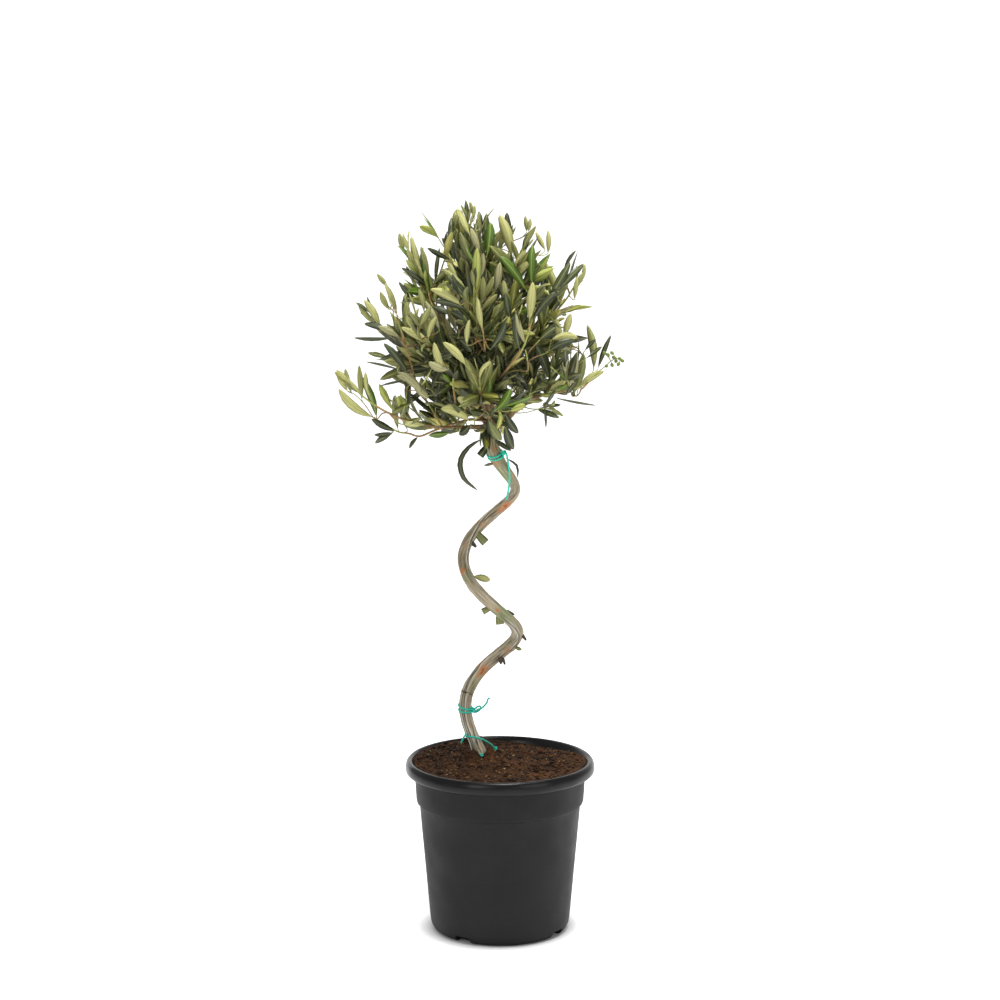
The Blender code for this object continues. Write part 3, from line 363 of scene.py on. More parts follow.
# Leaves that stand out by their place: root and tip, width and sideways bow in millimetres, the tone
# and the side that shows at the front
NAMED_LEAVES = (
    (14, -11, 802, -1, -8, 850, 13, -2, "pale under"), (12, 9, 808, 8, 7, 852, 10, 1, "deep upper"),
    (-15, -22, 803, -11, -20, 842, 13, -1, "fresh upper"),
    (29, -51, 768, 0, -53, 806, 11, -2, "fresh upper"), (36, -39, 771, 37, -37, 817, 11, 1, "fresh upper"),
    (33, -81, 734, 37, -82, 779, 11, 0, "pale under"), (-34, -12, 826, -49, -3, 857, 10, 1, "pale under"),
    (-23, -31, 809, -33, -30, 836, 9, 0, "grey under"), (-47, 10, 829, -52, 7, 850, 7, 0, "olive under"),
    (-52, -17, 797, -61, -18, 826, 9, -1, "deep upper"), (-34, -18, 797, -46, -18, 831, 9, 1, "deep under"),
    (37, -68, 735, 63, -66, 766, 9, 2, "deep upper"), (65, -36, 764, 96, -15, 794, 9, 1, "olive upper"),
    (54, -37, 751, 80, -28, 797, 10, 0, "olive upper"), (-44, -85, 753, -78, -85, 771, 10, -3, "pale under"),
    (-37, -80, 747, -74, -81, 757, 9, -3, "deep upper"),
    (-77, -65, 707, -112, -62, 726, 9, -1, "pale under"),
    (-38, -96, 686, -64, -100, 713, 10, -2, "pale under"),
    (-62, -88, 679, -74, -92, 712, 9, 2, "pale under"), (-81, -75, 713, -71, -80, 740, 8, 2, "pale under"),
    (-58, -91, 681, -80, -93, 690, 10, 2, "grey under"), (-6, -79, 633, 12, -88, 659, 11, -3, "fresh upper"),
    (-35, -70, 620, -67, -77, 635, 13, -5, "pale under"),
    (-40, -69, 624, -54, -77, 640, 9, -2, "olive upper"),
    (-148, 14, 613, -188, 10, 647, 11, 5, "pale under"),
    (-144, 14, 612, -162, 10, 662, 10, -3, "fresh upper"),
    (-161, 14, 633, -164, 10, 675, 7, 0, "olive under"), (-173, 14, 641, -180, 10, 671, 7, 1, "olive under"),
    (-177, 14, 643, -190, 10, 669, 7, 1, "pale under"), (-125, 14, 595, -147, 10, 593, 6, 1, "deep upper"),
    (-127, 14, 593, -146, 10, 583, 7, -1, "grey upper"), (-123, 14, 597, -150, 10, 612, 8, 1, "deep upper"),
    (-108, 14, 597, -115, -8, 643, 9, 2, "olive under"), (-119, 14, 598, -123, -5, 641, 7, 1, "deep under"),
    (-96, 14, 590, -106, 10, 577, 5, -1, "deep upper"), (109, 14, 669, 101, 10, 722, 10, -3, "olive under"),
    (114, 14, 670, 129, 10, 710, 6, 1, "deep upper"), (91, 6, 647, 121, 6, 668, 9, 3, "pale under"),
    (60, -9, 640, 112, -1, 629, 3, -1, "grey upper"), (50, -25, 635, 53, -19, 605, 3, 1, "deep upper"),
    (52, -25, 636, 69, -20, 620, 5, 0, "deep under"), (76, -27, 649, 88, -30, 694, 11, -2, "grey under"),
    (73, -30, 712, 81, -31, 739, 9, 0, "pale under"), (72, -21, 702, 65, -27, 733, 8, 1, "pale under"),
    (59, -36, 709, 89, -30, 711, 10, 3, "pale under"), (83, -7, 641, 97, -9, 690, 11, -2, "deep under"),
    (76, -26, 645, 87, -25, 659, 7, 0, "grey upper"), (-6, -12, 589, -14, -28, 618, 10, 1, "deep upper"),
    (6, -28, 611, 16, -11, 579, 12, -2, "deep upper"), (-13, -54, 620, 2, -43, 594, 11, -1, "deep under"),
    (5, -49, 629, 21, -42, 602, 10, -2, "deep upper"), (-34, -49, 613, -47, -46, 601, 10, 1, "deep upper"),
    (-94, -18, 750, -116, -19, 774, 7, 1, "deep upper"), (-87, -7, 766, -102, -6, 826, 9, 1, "pale under"),
    (-84, -2, 766, -91, -4, 814, 8, -2, "olive under"), (-111, 7, 806, -116, 6, 828, 7, 0, "olive under"),
    (-80, -18, 765, -113, -18, 790, 7, -2, "deep upper"), (-130, 10, 766, -142, 8, 781, 6, 0, "olive under"),
    (-128, 2, 740, -138, 0, 761, 7, 1, "olive under"), (-119, 5, 737, -133, 2, 771, 7, -1, "pale under"),
    (-144, 7, 722, -164, 6, 745, 7, 1, "olive under"), (-139, 2, 720, -157, 4, 751, 9, -2, "pale under"),
    (-127, -6, 714, -157, 0, 724, 8, -2, "deep upper"),
    (-115, -23, 710, -140, -20, 723, 8, -1, "grey under"),
    (-120, -13, 710, -169, -3, 708, 5, 2, "deep upper"),
    (-105, -39, 670, -133, -36, 705, 9, -2, "deep upper"),
    (-110, -28, 672, -155, -11, 681, 3, -1, "deep upper"),
    (-103, -29, 662, -138, -19, 654, 3, -1, "deep upper"),
    (-86, -46, 653, -118, -45, 669, 8, -2, "grey under"), (-3, -92, 715, 10, -95, 740, 8, 1, "deep upper"),
    (22, -89, 703, 18, -93, 748, 10, 2, "deep upper"), (29, -89, 709, 18, -94, 744, 7, 1, "grey under"),
    (45, -66, 712, 63, -66, 726, 8, 1, "olive upper"), (55, -52, 697, 85, -46, 710, 9, 2, "deep upper"),
    (-26, -74, 751, -30, -77, 772, 6, 0, "pale under"), (-20, -95, 726, -25, -98, 762, 8, 1, "pale under"),
    (-37, -94, 709, -34, -98, 738, 7, 1, "pale under"), (-68, -72, 724, -86, -73, 758, 8, -1, "grey under"),
    (-48, -48, 773, -58, -50, 798, 9, 1, "pale under"), (-38, -66, 769, -66, -67, 793, 7, -1, "olive under"),
    (-23, -55, 765, -19, -56, 804, 11, 1, "deep upper"), (-6, -55, 765, 0, -56, 799, 10, -1, "grey under"),
    (7, -72, 758, 4, -75, 780, 7, 0, "olive under"), (13, -84, 734, 6, -88, 768, 8, 1, "deep upper"),
    (-11, -94, 704, 7, -98, 735, 9, -2, "deep upper"), (52, -2, 809, 41, -4, 830, 6, 0, "pale under"),
    (55, -2, 805, 55, -2, 832, 6, -1, "pale under"), (31, 10, 829, 29, 8, 848, 5, 0, "olive under"),
    (33, 10, 829, 35, 8, 845, 5, 0, "pale under"), (-29, 11, 845, -35, 9, 864, 5, 0, "olive under"),
    (-31, 11, 843, -29, 8, 860, 5, 0, "pale under"), (96, 14, 773, 98, 10, 792, 5, 0, "pale under"),
    (88, 5, 763, 97, 6, 783, 6, 1, "olive under"), (86, 4, 751, 89, 2, 779, 6, 0, "pale under"),
    (67, -18, 753, 51, -22, 797, 9, -2, "pale under"), (-58, -55, 744, -29, -60, 727, 14, 1, "deep upper"),
    (-117, -50, 674, -90, -59, 653, 11, 2, "grey under"),
    (-100, -53, 659, -82, -57, 644, 10, 1, "grey under"), (-76, -42, 748, -59, -47, 740, 9, 0, "deep upper"),
    (-47, -68, 714, -32, -72, 699, 9, 1, "deep upper"), (-57, -22, 799, -83, -24, 813, 7, 0, "deep upper"),
    (-74, -18, 771, -69, -20, 813, 5, 1, "olive upper"),
)
# Twigs that show between the leaves: points along each and its radius at both ends, in millimetres
NAMED_TWIGS = (
    (((-12, 12, 609), (-26, 6, 611), (-37, 2, 612), (-58, 5, 605), (-77, 9, 598), (-94, 12, 591),
      (-106, 13, 594), (-119, 14, 596), (-133, 14, 604), (-148, 14, 613)), 2.1, 0.8),
    (((-2, -48, 665), (8, -66, 679), (16, -78, 690), (25, -88, 704), (30, -90, 716), (34, -89, 728)),
      1.7, 0.9), (((-17, -68, 699), (-18, -86, 714), (-20, -95, 731), (-23, -94, 752)), 1.3, 0.8),
    (((-94, -13, 646), (-98, -19, 663), (-103, -24, 682), (-111, -23, 712), (-121, -12, 734)), 1.4, 0.8),
    (((-51, -32, 635), (-52, -50, 648), (-53, -63, 659), (-53, -70, 669)), 1.8, 1.1),
    (((32, -52, 676), (31, -66, 689), (29, -74, 701)), 1.2, 0.8),
    (((-110, -27, 704), (-115, -18, 723), (-120, -11, 739), (-127, -2, 750), (-131, 7, 766)), 1.0, 0.6),
    (((-109, -27, 702), (-116, -19, 711), (-127, -9, 715), (-139, 2, 720), (-145, 8, 723)), 1.0, 0.6),
    (((-148, 14, 613), (-155, 14, 624), (-162, 14, 633), (-171, 14, 641), (-178, 14, 644)), 0.8, 0.5),
)
TWIG_CLEAR = 5.0
# Leaves on the stem itself: points along each in millimetres, width, outline, tone, side that shows
STEM_LEAVES = (
    (((-17.5, 6, 591), (-25.6, 0, 587), (-34.9, -6, 582), (-43, -10, 573), (-46.5, -12, 563),
      (-44.7, -12, 551), (-39.6, -10, 541.6), (-25.7, -6, 529.7)), 6.4, LEAF_OUTLINE, "deep upper"),
    (((6, 20, 564.3), (14.1, 26, 559.1), (19.4, 28, 554.6), (21.2, 28, 547.5), (20.6, 26, 539.5)),
      3.0, LEAF_OUTLINE, "deep upper"),
    (((-12.0, 14, 582.0), (-18.0, 9, 575.5), (-23.4, 6, 568.6)), 9.0, CUT_OUTLINE, "deep upper"),
    (((-29.6, 43, 472.8), (-23.0, 40, 465.8), (-17.1, 37, 460.0)), 10.0, CUT_OUTLINE, "deep under"),
    (((-31.0, 6, 425.6), (-20.0, 0, 424.5), (-11.4, -4, 422.6)), 8.5, LEAF_OUTLINE, "pale under"),
    (((-8.5, -10, 391.0), (-14.0, -12, 390.0), (-20.5, -14, 387.0)), 7.5, CUT_OUTLINE, "deep under"),
    (((-1.6, -8, 384.0), (-0.8, -9, 378.0), (0.2, -9, 370.8)), 9.5, CUT_OUTLINE, "deep under"),
    (((17.3, 38, 334.1), (21.0, 36, 332.1), (26.0, 34, 330.9)), 4.5, LEAF_OUTLINE, "deep under"),
    (((-31.0, 28, 276.2), (-40.0, 26, 279.9), (-47.2, 26, 283.4)), 2.4, LEAF_OUTLINE, "deep upper"),
    (((-6.5, 5, 560.0), (-13.0, 1, 559.4), (-18.4, -2, 558.4)), 3.4, LEAF_OUTLINE, "grey upper"),
    (((-7.8, 0, 589.2), (2.3, -6, 583.7), (13.0, -12, 577.5)), 6.0, LEAF_OUTLINE, "deep upper"),
)
# Dry stubs on the stem: both ends in millimetres and the radius at the root
STEM_STUBS = (
    ((8.5, -5, 386.0), (16.8, -2, 381.2), 1.9), ((24.5, 22, 354.0), (31.0, 24, 344.5), 2.2),
    ((0.5, 46, 319.0), (1.2, 46, 310.7), 2.8), ((3.5, 46, 317.0), (6.0, 46, 309.7), 1.8),
    ((-34.3, 37, 461.2), (-28.2, 34, 455.4), 2.7), ((-25.0, 2, 231.5), (-14.5, 8, 228.0), 2.2),
)
# Flower buds at the tip of the right-hand shoot, in millimetres, and the points of their stalk
BUDS = (
    (119.6, -36, 693.9), (123.7, -34, 691.4), (128.1, -38, 694.1), (130.5, -36, 688.7), (121.9, -38, 679.2),
    (128.3, -36, 680.1), (135.6, -38, 681.5), (137.2, -36, 687.2), (139.8, -38, 685.4), (132.9, -34, 684.5),
)
BUD_STALK = (
    (108, -33, 667), (112.3, -34, 671.8), (120.3, -35, 678.3), (127.1, -35, 684.6), (133.9, -36, 687.6),
    (138.2, -37, 686.6),
)

# How far a leaf with a given place arches towards the front, as a share of its length
NAMED_ARCH = 0.07
# The radius of the buds' stalk, and the length of a bud with the radii along it
STALK_RADIUS = 0.0006
BUD_LENGTH = 0.0052
BUD_RADII = (0.0006, 0.0017, 0.0021, 0.0018, 0.0008)
# Ties of twine. Rings lie on the stem: height, first and last angle from the front, how steeply each
# falls to the right and to the back; lines are in millimetres
TIE_RINGS = (
    (0.5713, 0.0, math.tau, -0.32, -0.35, "new"), (0.5680, 0.0, math.tau, -0.30, -0.35, "new"),
    (0.2644, 0.0, math.tau, 0.20, -0.05, "old"), (0.2610, 0.0, math.tau, 0.02, -0.05, "old"),
    (0.2152, -0.55, 0.42, -0.15, 0.0, "old"), (0.2134, -0.5, 0.45, -0.1, 0.0, "old"),
)
TIE_LINES = (
    (((4.7, 3, 573.2), (7.7, 1, 571.1), (9.6, 2, 559.8), (11, 4, 548.8), (11, 6, 537.9), (9.6, 8, 526.9),
      (7.7, 9, 516.5)), "new"),
    (((-37.0, 14, 264.2), (-33.0, 12, 264.8), (-29.5, 13, 263.9), (-26.6, 16, 265.8), (-23.6, 18, 265.2),
      (-23.2, 18, 262.6), (-26.0, 17, 259.8), (-29.8, 14, 259.2), (-33.0, 12, 260.4), (-37.0, 14, 261.2)),
      "old"),
    (((-37.0, 14, 262.8), (-32.0, 12, 262.6), (-28.6, 13, 261.2), (-26.0, 16, 262.2), (-22.3, 18, 262.9),
      (-18.1, 21, 266), (-15.5, 23, 269.2), (-14.6, 24, 272.6), (-12.4, 25, 273.8)), "old"),
    (((-39.1, -8, 238.8), (-41.7, -8, 236.3), (-43.8, -7, 231.8), (-46, -6, 227.3)), "old"),
    (((-40.1, -4, 234.2), (-35.5, -10.5, 235.6), (-29.6, -12.5, 235.2), (-20.7, -8, 231.7),
      (-14.2, 1, 225.4), (-10.0, 8, 220.4), (-6.6, 13, 215.0)), "old"),
)
TIE_KNOTS = ((4.1, 3, 573.0, "new"), (-6.6, 13, 214.4, "old"))
TWINE_AGES = ("new", "old")
TWINE_FADING = 0.86
KNOT_SIZE = 0.0009
TWINE_LAY = 0.0052

# Stage
CAMERA_PLACE = (0.0, -3.0, 1.012)
CAMERA_TILT = math.radians(80.64)
CAMERA_LENS = 93.636
FLOOR_SIZE = 8.0
FLOOR_DROP = 0.0002
SWEEP_RADIUS = 1.6
SWEEP_STEPS = 12
WALL_HEIGHT = 5.0
# The board glows by emission of its own, a painted glow and no lamp, from a little way off the pot, so that
# its shadows fade there
GLOW_FROM = 0.078
GLOW_TO = 0.098
FAR_GLOW = 0.62
# Name, place and target in metres, width in metres and power in watts
LIGHTS = (
    ("overhead", (0.22, -0.25, 2.3), (0.0, 0.0, 0.4), 0.7, 38.0),
    ("front_left", (-1.5, -2.6, 1.7), (0.0, 0.0, 0.5), 1.3, 20.0),
    ("front_right", (1.9, -2.0, 1.3), (0.0, 0.0, 0.4), 1.4, 12.0),
)
WORLD_STRENGTH = 0.50

# Which tone a spray takes: the height at which it pales, partly as painted light on the crown's top, and
# over how much, then a limit for each tone
PALE_FROM = 0.66
PALE_OVER = 0.17
TONE_LIMITS = ((0.32, "deep"), (0.54, "olive"), (0.64, "grey"), (0.69, "fresh"), (0.99, "pale"))

# Slots of the leaves: the upper side, the underside and the rib of each tone of spray
TONES = ("deep", "olive", "grey", "fresh", "pale", "young")


def linear(code):
    """A colour in linear light from its sRGB hex code."""
    shares = [int(code[start : start + 2], 16) / 255.0 for start in (1, 3, 5)]
    return tuple(s / 12.92 if s <= 0.04045 else ((s + 0.055) / 1.055) ** 2.4 for s in shares)


# Upper side, underside and rib of each tone
LEAF_COLOURS = {
    "deep": ("#343b23", "#828656", "#5f653a"),
    "olive": ("#444c28", "#999a61", "#777b45"),
    "grey": ("#4e503b", "#9f9c72", "#838258"),
    "fresh": ("#4e6a1e", "#acb161", "#82913c"),
    "pale": ("#6c7139", "#b1b074", "#9d9d56"),
    "young": ("#888a3d", "#c7c275", "#b0ab54"),
}


class OliveSizes(bpy.types.PropertyGroup):
    """Sizes that change how the crown looks."""

    leaf_length: bpy.props.FloatProperty(
        name="Leaf length", description="Length of a full-grown leaf", default=0.044, unit="LENGTH"
    )
    leaf_width: bpy.props.FloatProperty(
        name="Leaf width", description="Width of a full-grown leaf", default=0.0104, unit="LENGTH"
    )
    leaf_thickness: bpy.props.FloatProperty(
        name="Leaf thickness", description="Thickness of a leaf at its rib", default=0.0006, unit="LENGTH"
    )
    crumb_count: bpy.props.IntProperty(
        name="Crumbs", description="Number of loose crumbs on the compost", default=2200
    )
    twine_width: bpy.props.FloatProperty(
        name="Twine width", description="Thickness of the tying twine", default=0.0021, unit="LENGTH"
    )


class OliveColours(bpy.types.PropertyGroup):
    """Main colours of the finish."""

    pot: bpy.props.FloatVectorProperty(
        name="Pot", description="Colour of the pot's plastic", default=linear("#060606"), subtype="COLOR"
    )
    compost: bpy.props.FloatVectorProperty(
        name="Compost", description="Main colour of the compost", default=linear("#432b17"), subtype="COLOR"
    )
    bark: bpy.props.FloatVectorProperty(
        name="Bark", description="Main colour of the old bark", default=linear("#a4967c"), subtype="COLOR"
    )
    twine: bpy.props.FloatVectorProperty(
        name="Twine", description="Colour of the tying twine", default=linear("#14cbb0"), subtype="COLOR"
    )


def fill(tree, node, inputs):
    """Fills or links a node's sockets."""
    for socket, value in inputs.items():
        if isinstance(value, bpy.types.NodeSocket):
            tree.links.new(value, node.inputs[socket])
        else:
            node.inputs[socket].default_value = value


def add_node(tree, kind, inputs=None, **settings):
    """Adds a shader node, sets its properties, and fills or links its sockets."""
    made = tree.nodes.new("ShaderNode" + kind)
    for name, value in settings.items():
        setattr(made, name, value)
    fill(tree, made, inputs or {})
    return made


def new_surface(name, roughness, gloss=0.5, ior=1.46):
    """A material with only a Principled shader: (material, its tree, the shader)."""
    made = bpy.data.materials.new(name)
    made.use_nodes = True
    shader = made.node_tree.nodes["Principled BSDF"]
    fill(made.node_tree, shader, {"Roughness": roughness, "Specular IOR Level": gloss, "IOR": ior})
    return made, made.node_tree, shader


def opaque(colour):
    """A colour with full alpha, from its linear shares or its sRGB hex code."""
    return (*(linear(colour) if isinstance(colour, str) else colour), 1.0)


def select_only(thing):
    """Makes one object the only selected and the active one."""
    bpy.ops.object.select_all(action="DESELECT")
    thing.select_set(True)
    bpy.context.view_layer.objects.active = thing


def settle(thing, materials, nodes):
    """Applies an object's place, gives it its materials and sets it on the frame for its nodes."""
    select_only(thing)
    bpy.ops.object.transform_apply(location=True, rotation=True, scale=True)
    for material in materials:
        thing.data.materials.append(material)
    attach(thing, "root")
    if nodes:
        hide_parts(*nodes)


def apply_all(thing):
    """Applies every modifier of an object in turn."""
    select_only(thing)
    for modifier in list(thing.modifiers):
        bpy.ops.object.modifier_apply(modifier=modifier.name)


def laid_over(tree, colour, layers):
    """A colour with others laid over it in turn, each where its pattern rises from one level to the next."""
    for pattern, low, high, most, over in layers:
        levels = {"Value": pattern.outputs["Fac"], "From Min": low, "From Max": high, "To Max": most}
        share = add_node(tree, "MapRange", levels).outputs["Result"]
        blend = {"Factor": share, 6: colour, 7: opaque(over)}
        colour = add_node(tree, "Mix", blend, data_type="RGBA").outputs[2]
    return colour


def pick_corners(thing, test):
    """Goes into edit mode with only those corners chosen that pass a test."""
    bpy.ops.object.mode_set(mode="EDIT")
    bpy.ops.mesh.select_mode(type="VERT")
    bpy.ops.mesh.select_all(action="DESELECT")
    bpy.ops.object.mode_set(mode="OBJECT")
    for vertex in thing.data.vertices:
        vertex.select = test(vertex.co)
    bpy.ops.object.mode_set(mode="EDIT")


def drawn_up(name, sides, foot, rings):
    """A round body drawn up from its flat foot, ring by ring, and left in edit mode.

    The foot and each ring are a radius and a height.
    """
    radius, height = foot
    bpy.ops.object.select_all(action="DESELECT")
    bpy.ops.mesh.primitive_circle_add(
        vertices=sides, radius=radius, fill_type="NGON", location=(0.0, 0.0, height)
    )
    body = bpy.context.active_object
    body.name = name
    select_only(body)
    bpy.ops.object.transform_apply(location=True)
    bpy.ops.object.mode_set(mode="EDIT")
    bpy.ops.mesh.select_all(action="SELECT")
    for next_radius, next_height in rings:
        rise = (0.0, 0.0, next_height - height)
        bpy.ops.mesh.extrude_region_move(TRANSFORM_OT_translate={"value": rise})
        share = next_radius / radius
        bpy.ops.transform.resize(value=(share, share, 1.0), center_override=(0.0, 0.0, next_height))
        radius, height = next_radius, next_height
    return body


class Joined:
    """Many small meshes in one piece, with a slot for each face and each point's place on its limb."""

    def __init__(self):
        self.points, self.faces, self.places, self.slots = [], [], [], []

    def add(self, points, faces, places=(), slots=0):
        """Adds a mesh, all in one slot or with a slot for each of its faces."""
        first = len(self.points)
        self.points.extend(points)
        self.faces.extend(tuple(first + corner for corner in face) for face in faces)
        self.places.extend(places)
        self.slots.extend([slots] * len(faces) if isinstance(slots, int) else slots)

    def finish(self, name, materials, nodes, slot, **fields):
        """Makes the piece, smooth all over, with fields of a vector for each point."""
        mesh = bpy.data.meshes.new(name)
        mesh.from_pydata([tuple(point) for point in self.points], [], self.faces)
        mesh.polygons.foreach_set("material_index", self.slots)
        if self.places:
            fields = {"bark_place": self.places, **fields}
        for field, values in fields.items():
            stored = mesh.attributes.new(field, "FLOAT_VECTOR", "POINT")
            stored.data.foreach_set("vector", [share for value in values for share in value])
        mesh.polygons.foreach_set("use_smooth", [True] * len(mesh.polygons))
        mesh.update()
        thing = bpy.data.objects.new(name, mesh)
        bpy.context.scene.collection.objects.link(thing)
        settle(thing, materials, nodes)


def metres(points):
    """Points in metres from a row of them in millimetres."""
    return [Vector(point) * MILLIMETRE for point in points]


def smooth_step(share):
    """Goes from 0 to 1 with level ends, and stays there on both sides."""
    share = min(max(share, 0.0), 1.0)
    return share * share * (3.0 - 2.0 * share)


def read_table(table, place):
    """The value at a place in rows of place and value, joined by straight lines."""
    if place <= table[0][0]:
        return table[0][1]
    for (low, low_value), (high, high_value) in zip(table, table[1:]):
        if place <= high:
            return low_value + (high_value - low_value) * (place - low) / (high - low)
    return table[-1][1]


# Pot


def moulded_polypropylene():
    """Black polypropylene, injection moulded: a satin skin with faint cloudy marks, dust and fine scuffs."""
    made, tree, shader = new_surface("moulded_polypropylene", 0.5, 0.26, 1.49)
    base = bpy.context.scene.olive_colours.pot
    where = add_node(tree, "TexCoord").outputs["Object"]
    tall = add_node(tree, "Mapping", {"Vector": where, "Scale": (1.0, 1.0, 9.0)}).outputs["Vector"]
    cloudy = add_node(tree, "TexNoise", {"Vector": where, "Scale": 22.0, "Detail": 4.0})
    scuffs = {"Vector": tall, "Scale": 60.0, "Detail": 5.0, "Roughness": 0.7}
    scuffs = add_node(tree, "TexNoise", scuffs)
    dusty = [share * 1.5 for share in base]
    layers = ((cloudy, 0.42, 0.72, 1.0, dusty), (scuffs, 0.60, 0.78, 0.30, "#3a3a37"))
    colour = laid_over(tree, opaque(base), layers)
    clouds = {"Value": cloudy.outputs["Fac"], "From Min": 0.3, "From Max": 0.75}
    clouds.update({"To Min": 0.48, "To Max": 0.62})
    rough = add_node(tree, "MapRange", clouds).outputs["Result"]
    # Hands have rubbed the lip smooth
    height = add_node(tree, "SeparateXYZ", {0: where}).outputs["Z"]
    lip = {"Value": height, "From Min": 0.188, "From Max": 0.197, "To Max": 0.26}
    rubbed = add_node(tree, "MapRange", lip).outputs["Result"]
    skin = add_node(tree, "Math", {0: rough, 1: rubbed}, operation="SUBTRACT")
    # The skin is an orange peel of about 1 mm, on a wall that swells and sinks over a few centimetres
    peel = add_node(tree, "TexNoise", {"Vector": where, "Scale": 900.0, "Detail": 2.0})
    swell = add_node(tree, "TexNoise", {"Vector": where, "Scale": 16.0, "Detail": 1.0})
    fine = {"Height": peel.outputs["Fac"], "Strength": 0.12, "Distance": 0.0004}
    fine = add_node(tree, "Bump", fine).outputs["Normal"]
    bump = {"Height": swell.outputs["Fac"], "Strength": 0.8, "Distance": 0.005, "Normal": fine}
    bump = add_node(tree, "Bump", bump).outputs["Normal"]
    fill(tree, shader, {"Base Color": colour, "Roughness": skin.outputs["Value"], "Normal": bump})
    return made


def notch_wedge(out):
    """A wedge that points outwards through the corner of the foot, wider at the ground than above."""
    middle = (NOTCH_REACH[0] + NOTCH_REACH[1]) / 2.0
    bpy.ops.mesh.primitive_cube_add(size=1.0, location=out * middle)
    wedge = bpy.context.active_object
    wedge.scale = (NOTCH_REACH[1] - NOTCH_REACH[0], NOTCH_WIDTHS[0], NOTCH_HEIGHT * 2.0)
    wedge.rotation_euler = (0.0, 0.0, math.atan2(out.y, out.x))
    select_only(wedge)
    bpy.ops.object.transform_apply(location=False, rotation=False, scale=True)
    pick_corners(wedge, lambda place: place.z > 0.0)
    bpy.ops.transform.resize(value=(1.0, NOTCH_WIDTHS[1] / NOTCH_WIDTHS[0], 1.0), orient_type="LOCAL")
    bpy.ops.object.mode_set(mode="OBJECT")
    return wedge


class OLIVE_OT_pot(bpy.types.Operator):
    """Makes the pot by drawing its wall up from the flat foot, ring by ring, over the lip and down inside"""

    bl_idname = "olive.pot"
    bl_label = "Pot"

    def execute(self, context):
        pot = drawn_up("pot_wall", POT_SIDES, (POT_FLAT, 0.0), POT_OUTSIDE + POT_INSIDE)
        bpy.ops.mesh.select_all(action="SELECT")
        bpy.ops.mesh.normals_make_consistent(inside=False)
        bpy.ops.object.mode_set(mode="OBJECT")
        for number in range(NOTCH_COUNT):
            angle = NOTCH_FIRST + math.tau * number / NOTCH_COUNT
            wedge = notch_wedge(Vector((math.sin(angle), -math.cos(angle), 0.0)))
            cut = pot.modifiers.new("notch", "BOOLEAN")
            cut.operation = "DIFFERENCE"
            cut.solver = "EXACT"
            cut.object = wedge
            apply_all(pot)
            bpy.data.objects.remove(wedge, do_unlink=True)
        select_only(pot)
        bpy.ops.object.shade_smooth_by_angle(angle=POT_CREASE)
        settle(pot, [moulded_polypropylene()], ["pot"])
        return {"FINISHED"}


# Compost


def potting_compost():
    """Moist peat and bark compost, loose laid: dark crumbs and red-brown fibres, with no shine."""
    made, tree, shader = new_surface("potting_compost", 0.95, 0.2)
    base = bpy.context.scene.olive_colours.compost
    where = add_node(tree, "TexCoord").outputs["Object"]
    # Crumbs are 2 to 4 mm across
    crumbs = add_node(tree, "TexVoronoi", {"Vector": where, "Scale": 330.0})
    clods = {"Vector": where, "Scale": 70.0, "Detail": 6.0, "Roughness": 0.7}
    clods = add_node(tree, "TexNoise", clods)
    patches = add_node(tree, "TexNoise", {"Vector": where, "Scale": 24.0, "Detail": 3.0})
    layers = ((clods, 0.40, 0.62, 1.0, base), (patches, 0.48, 0.66, 1.0, "#553720"))
    colour = laid_over(tree, opaque("#271a0f"), layers)
    levels = {0: clods.outputs["Fac"], 1: crumbs.outputs["Distance"]}
    height = add_node(tree, "Math", levels, operation="SUBTRACT").outputs["Value"]
    bump = add_node(tree, "Bump", {"Height": height, "Strength": 0.9, "Distance": 0.0018})
    fill(tree, shader, {"Base Color": colour, "Normal": bump.outputs["Normal"]})
    return made


def plain_matter(name, code, roughness=0.9, gloss=0.25, grain=900.0, rise=0.4):
    """A plain tone with a fine grain, for what is too small to show more."""
    made, tree, shader = new_surface(name, roughness, gloss)
    where = add_node(tree, "TexCoord").outputs["Object"]
    grains = add_node(tree, "TexNoise", {"Vector": where, "Scale": grain, "Detail": 2.0})
    bump = {"Height": grains.outputs["Fac"], "Strength": rise, "Distance": 0.0003}
    bump = add_node(tree, "Bump", bump).outputs["Normal"]
    fill(tree, shader, {"Base Color": opaque(code), "Normal": bump})
    return made


def soil_height(x, y):
    """The height of the compost: flat round the stem, heaped at its foot, level with the lip at the edge."""
    foot = trunk_point(GROUND)
    distance = math.hypot(x - foot.x, y - foot.y)
    level = SOIL_RIM + (GROUND - SOIL_RIM) * (1.0 - smooth_step((distance - SOIL_FLAT) / SOIL_SLOPE))
    for across, ahead, reach, rise in HEAPS:
        away = math.hypot(x - foot.x - across, y - foot.y + ahead)
        level += rise * (1.0 - smooth_step(away / reach))
    outer = smooth_step((math.hypot(x, y) - SINK_FROM) / SINK_OVER)
    back_right = max(0.0, math.cos(math.atan2(y, x) - SINK_TOWARDS)) ** SINK_NARROWNESS
    return level - outer * SINK_DEPTH * back_right


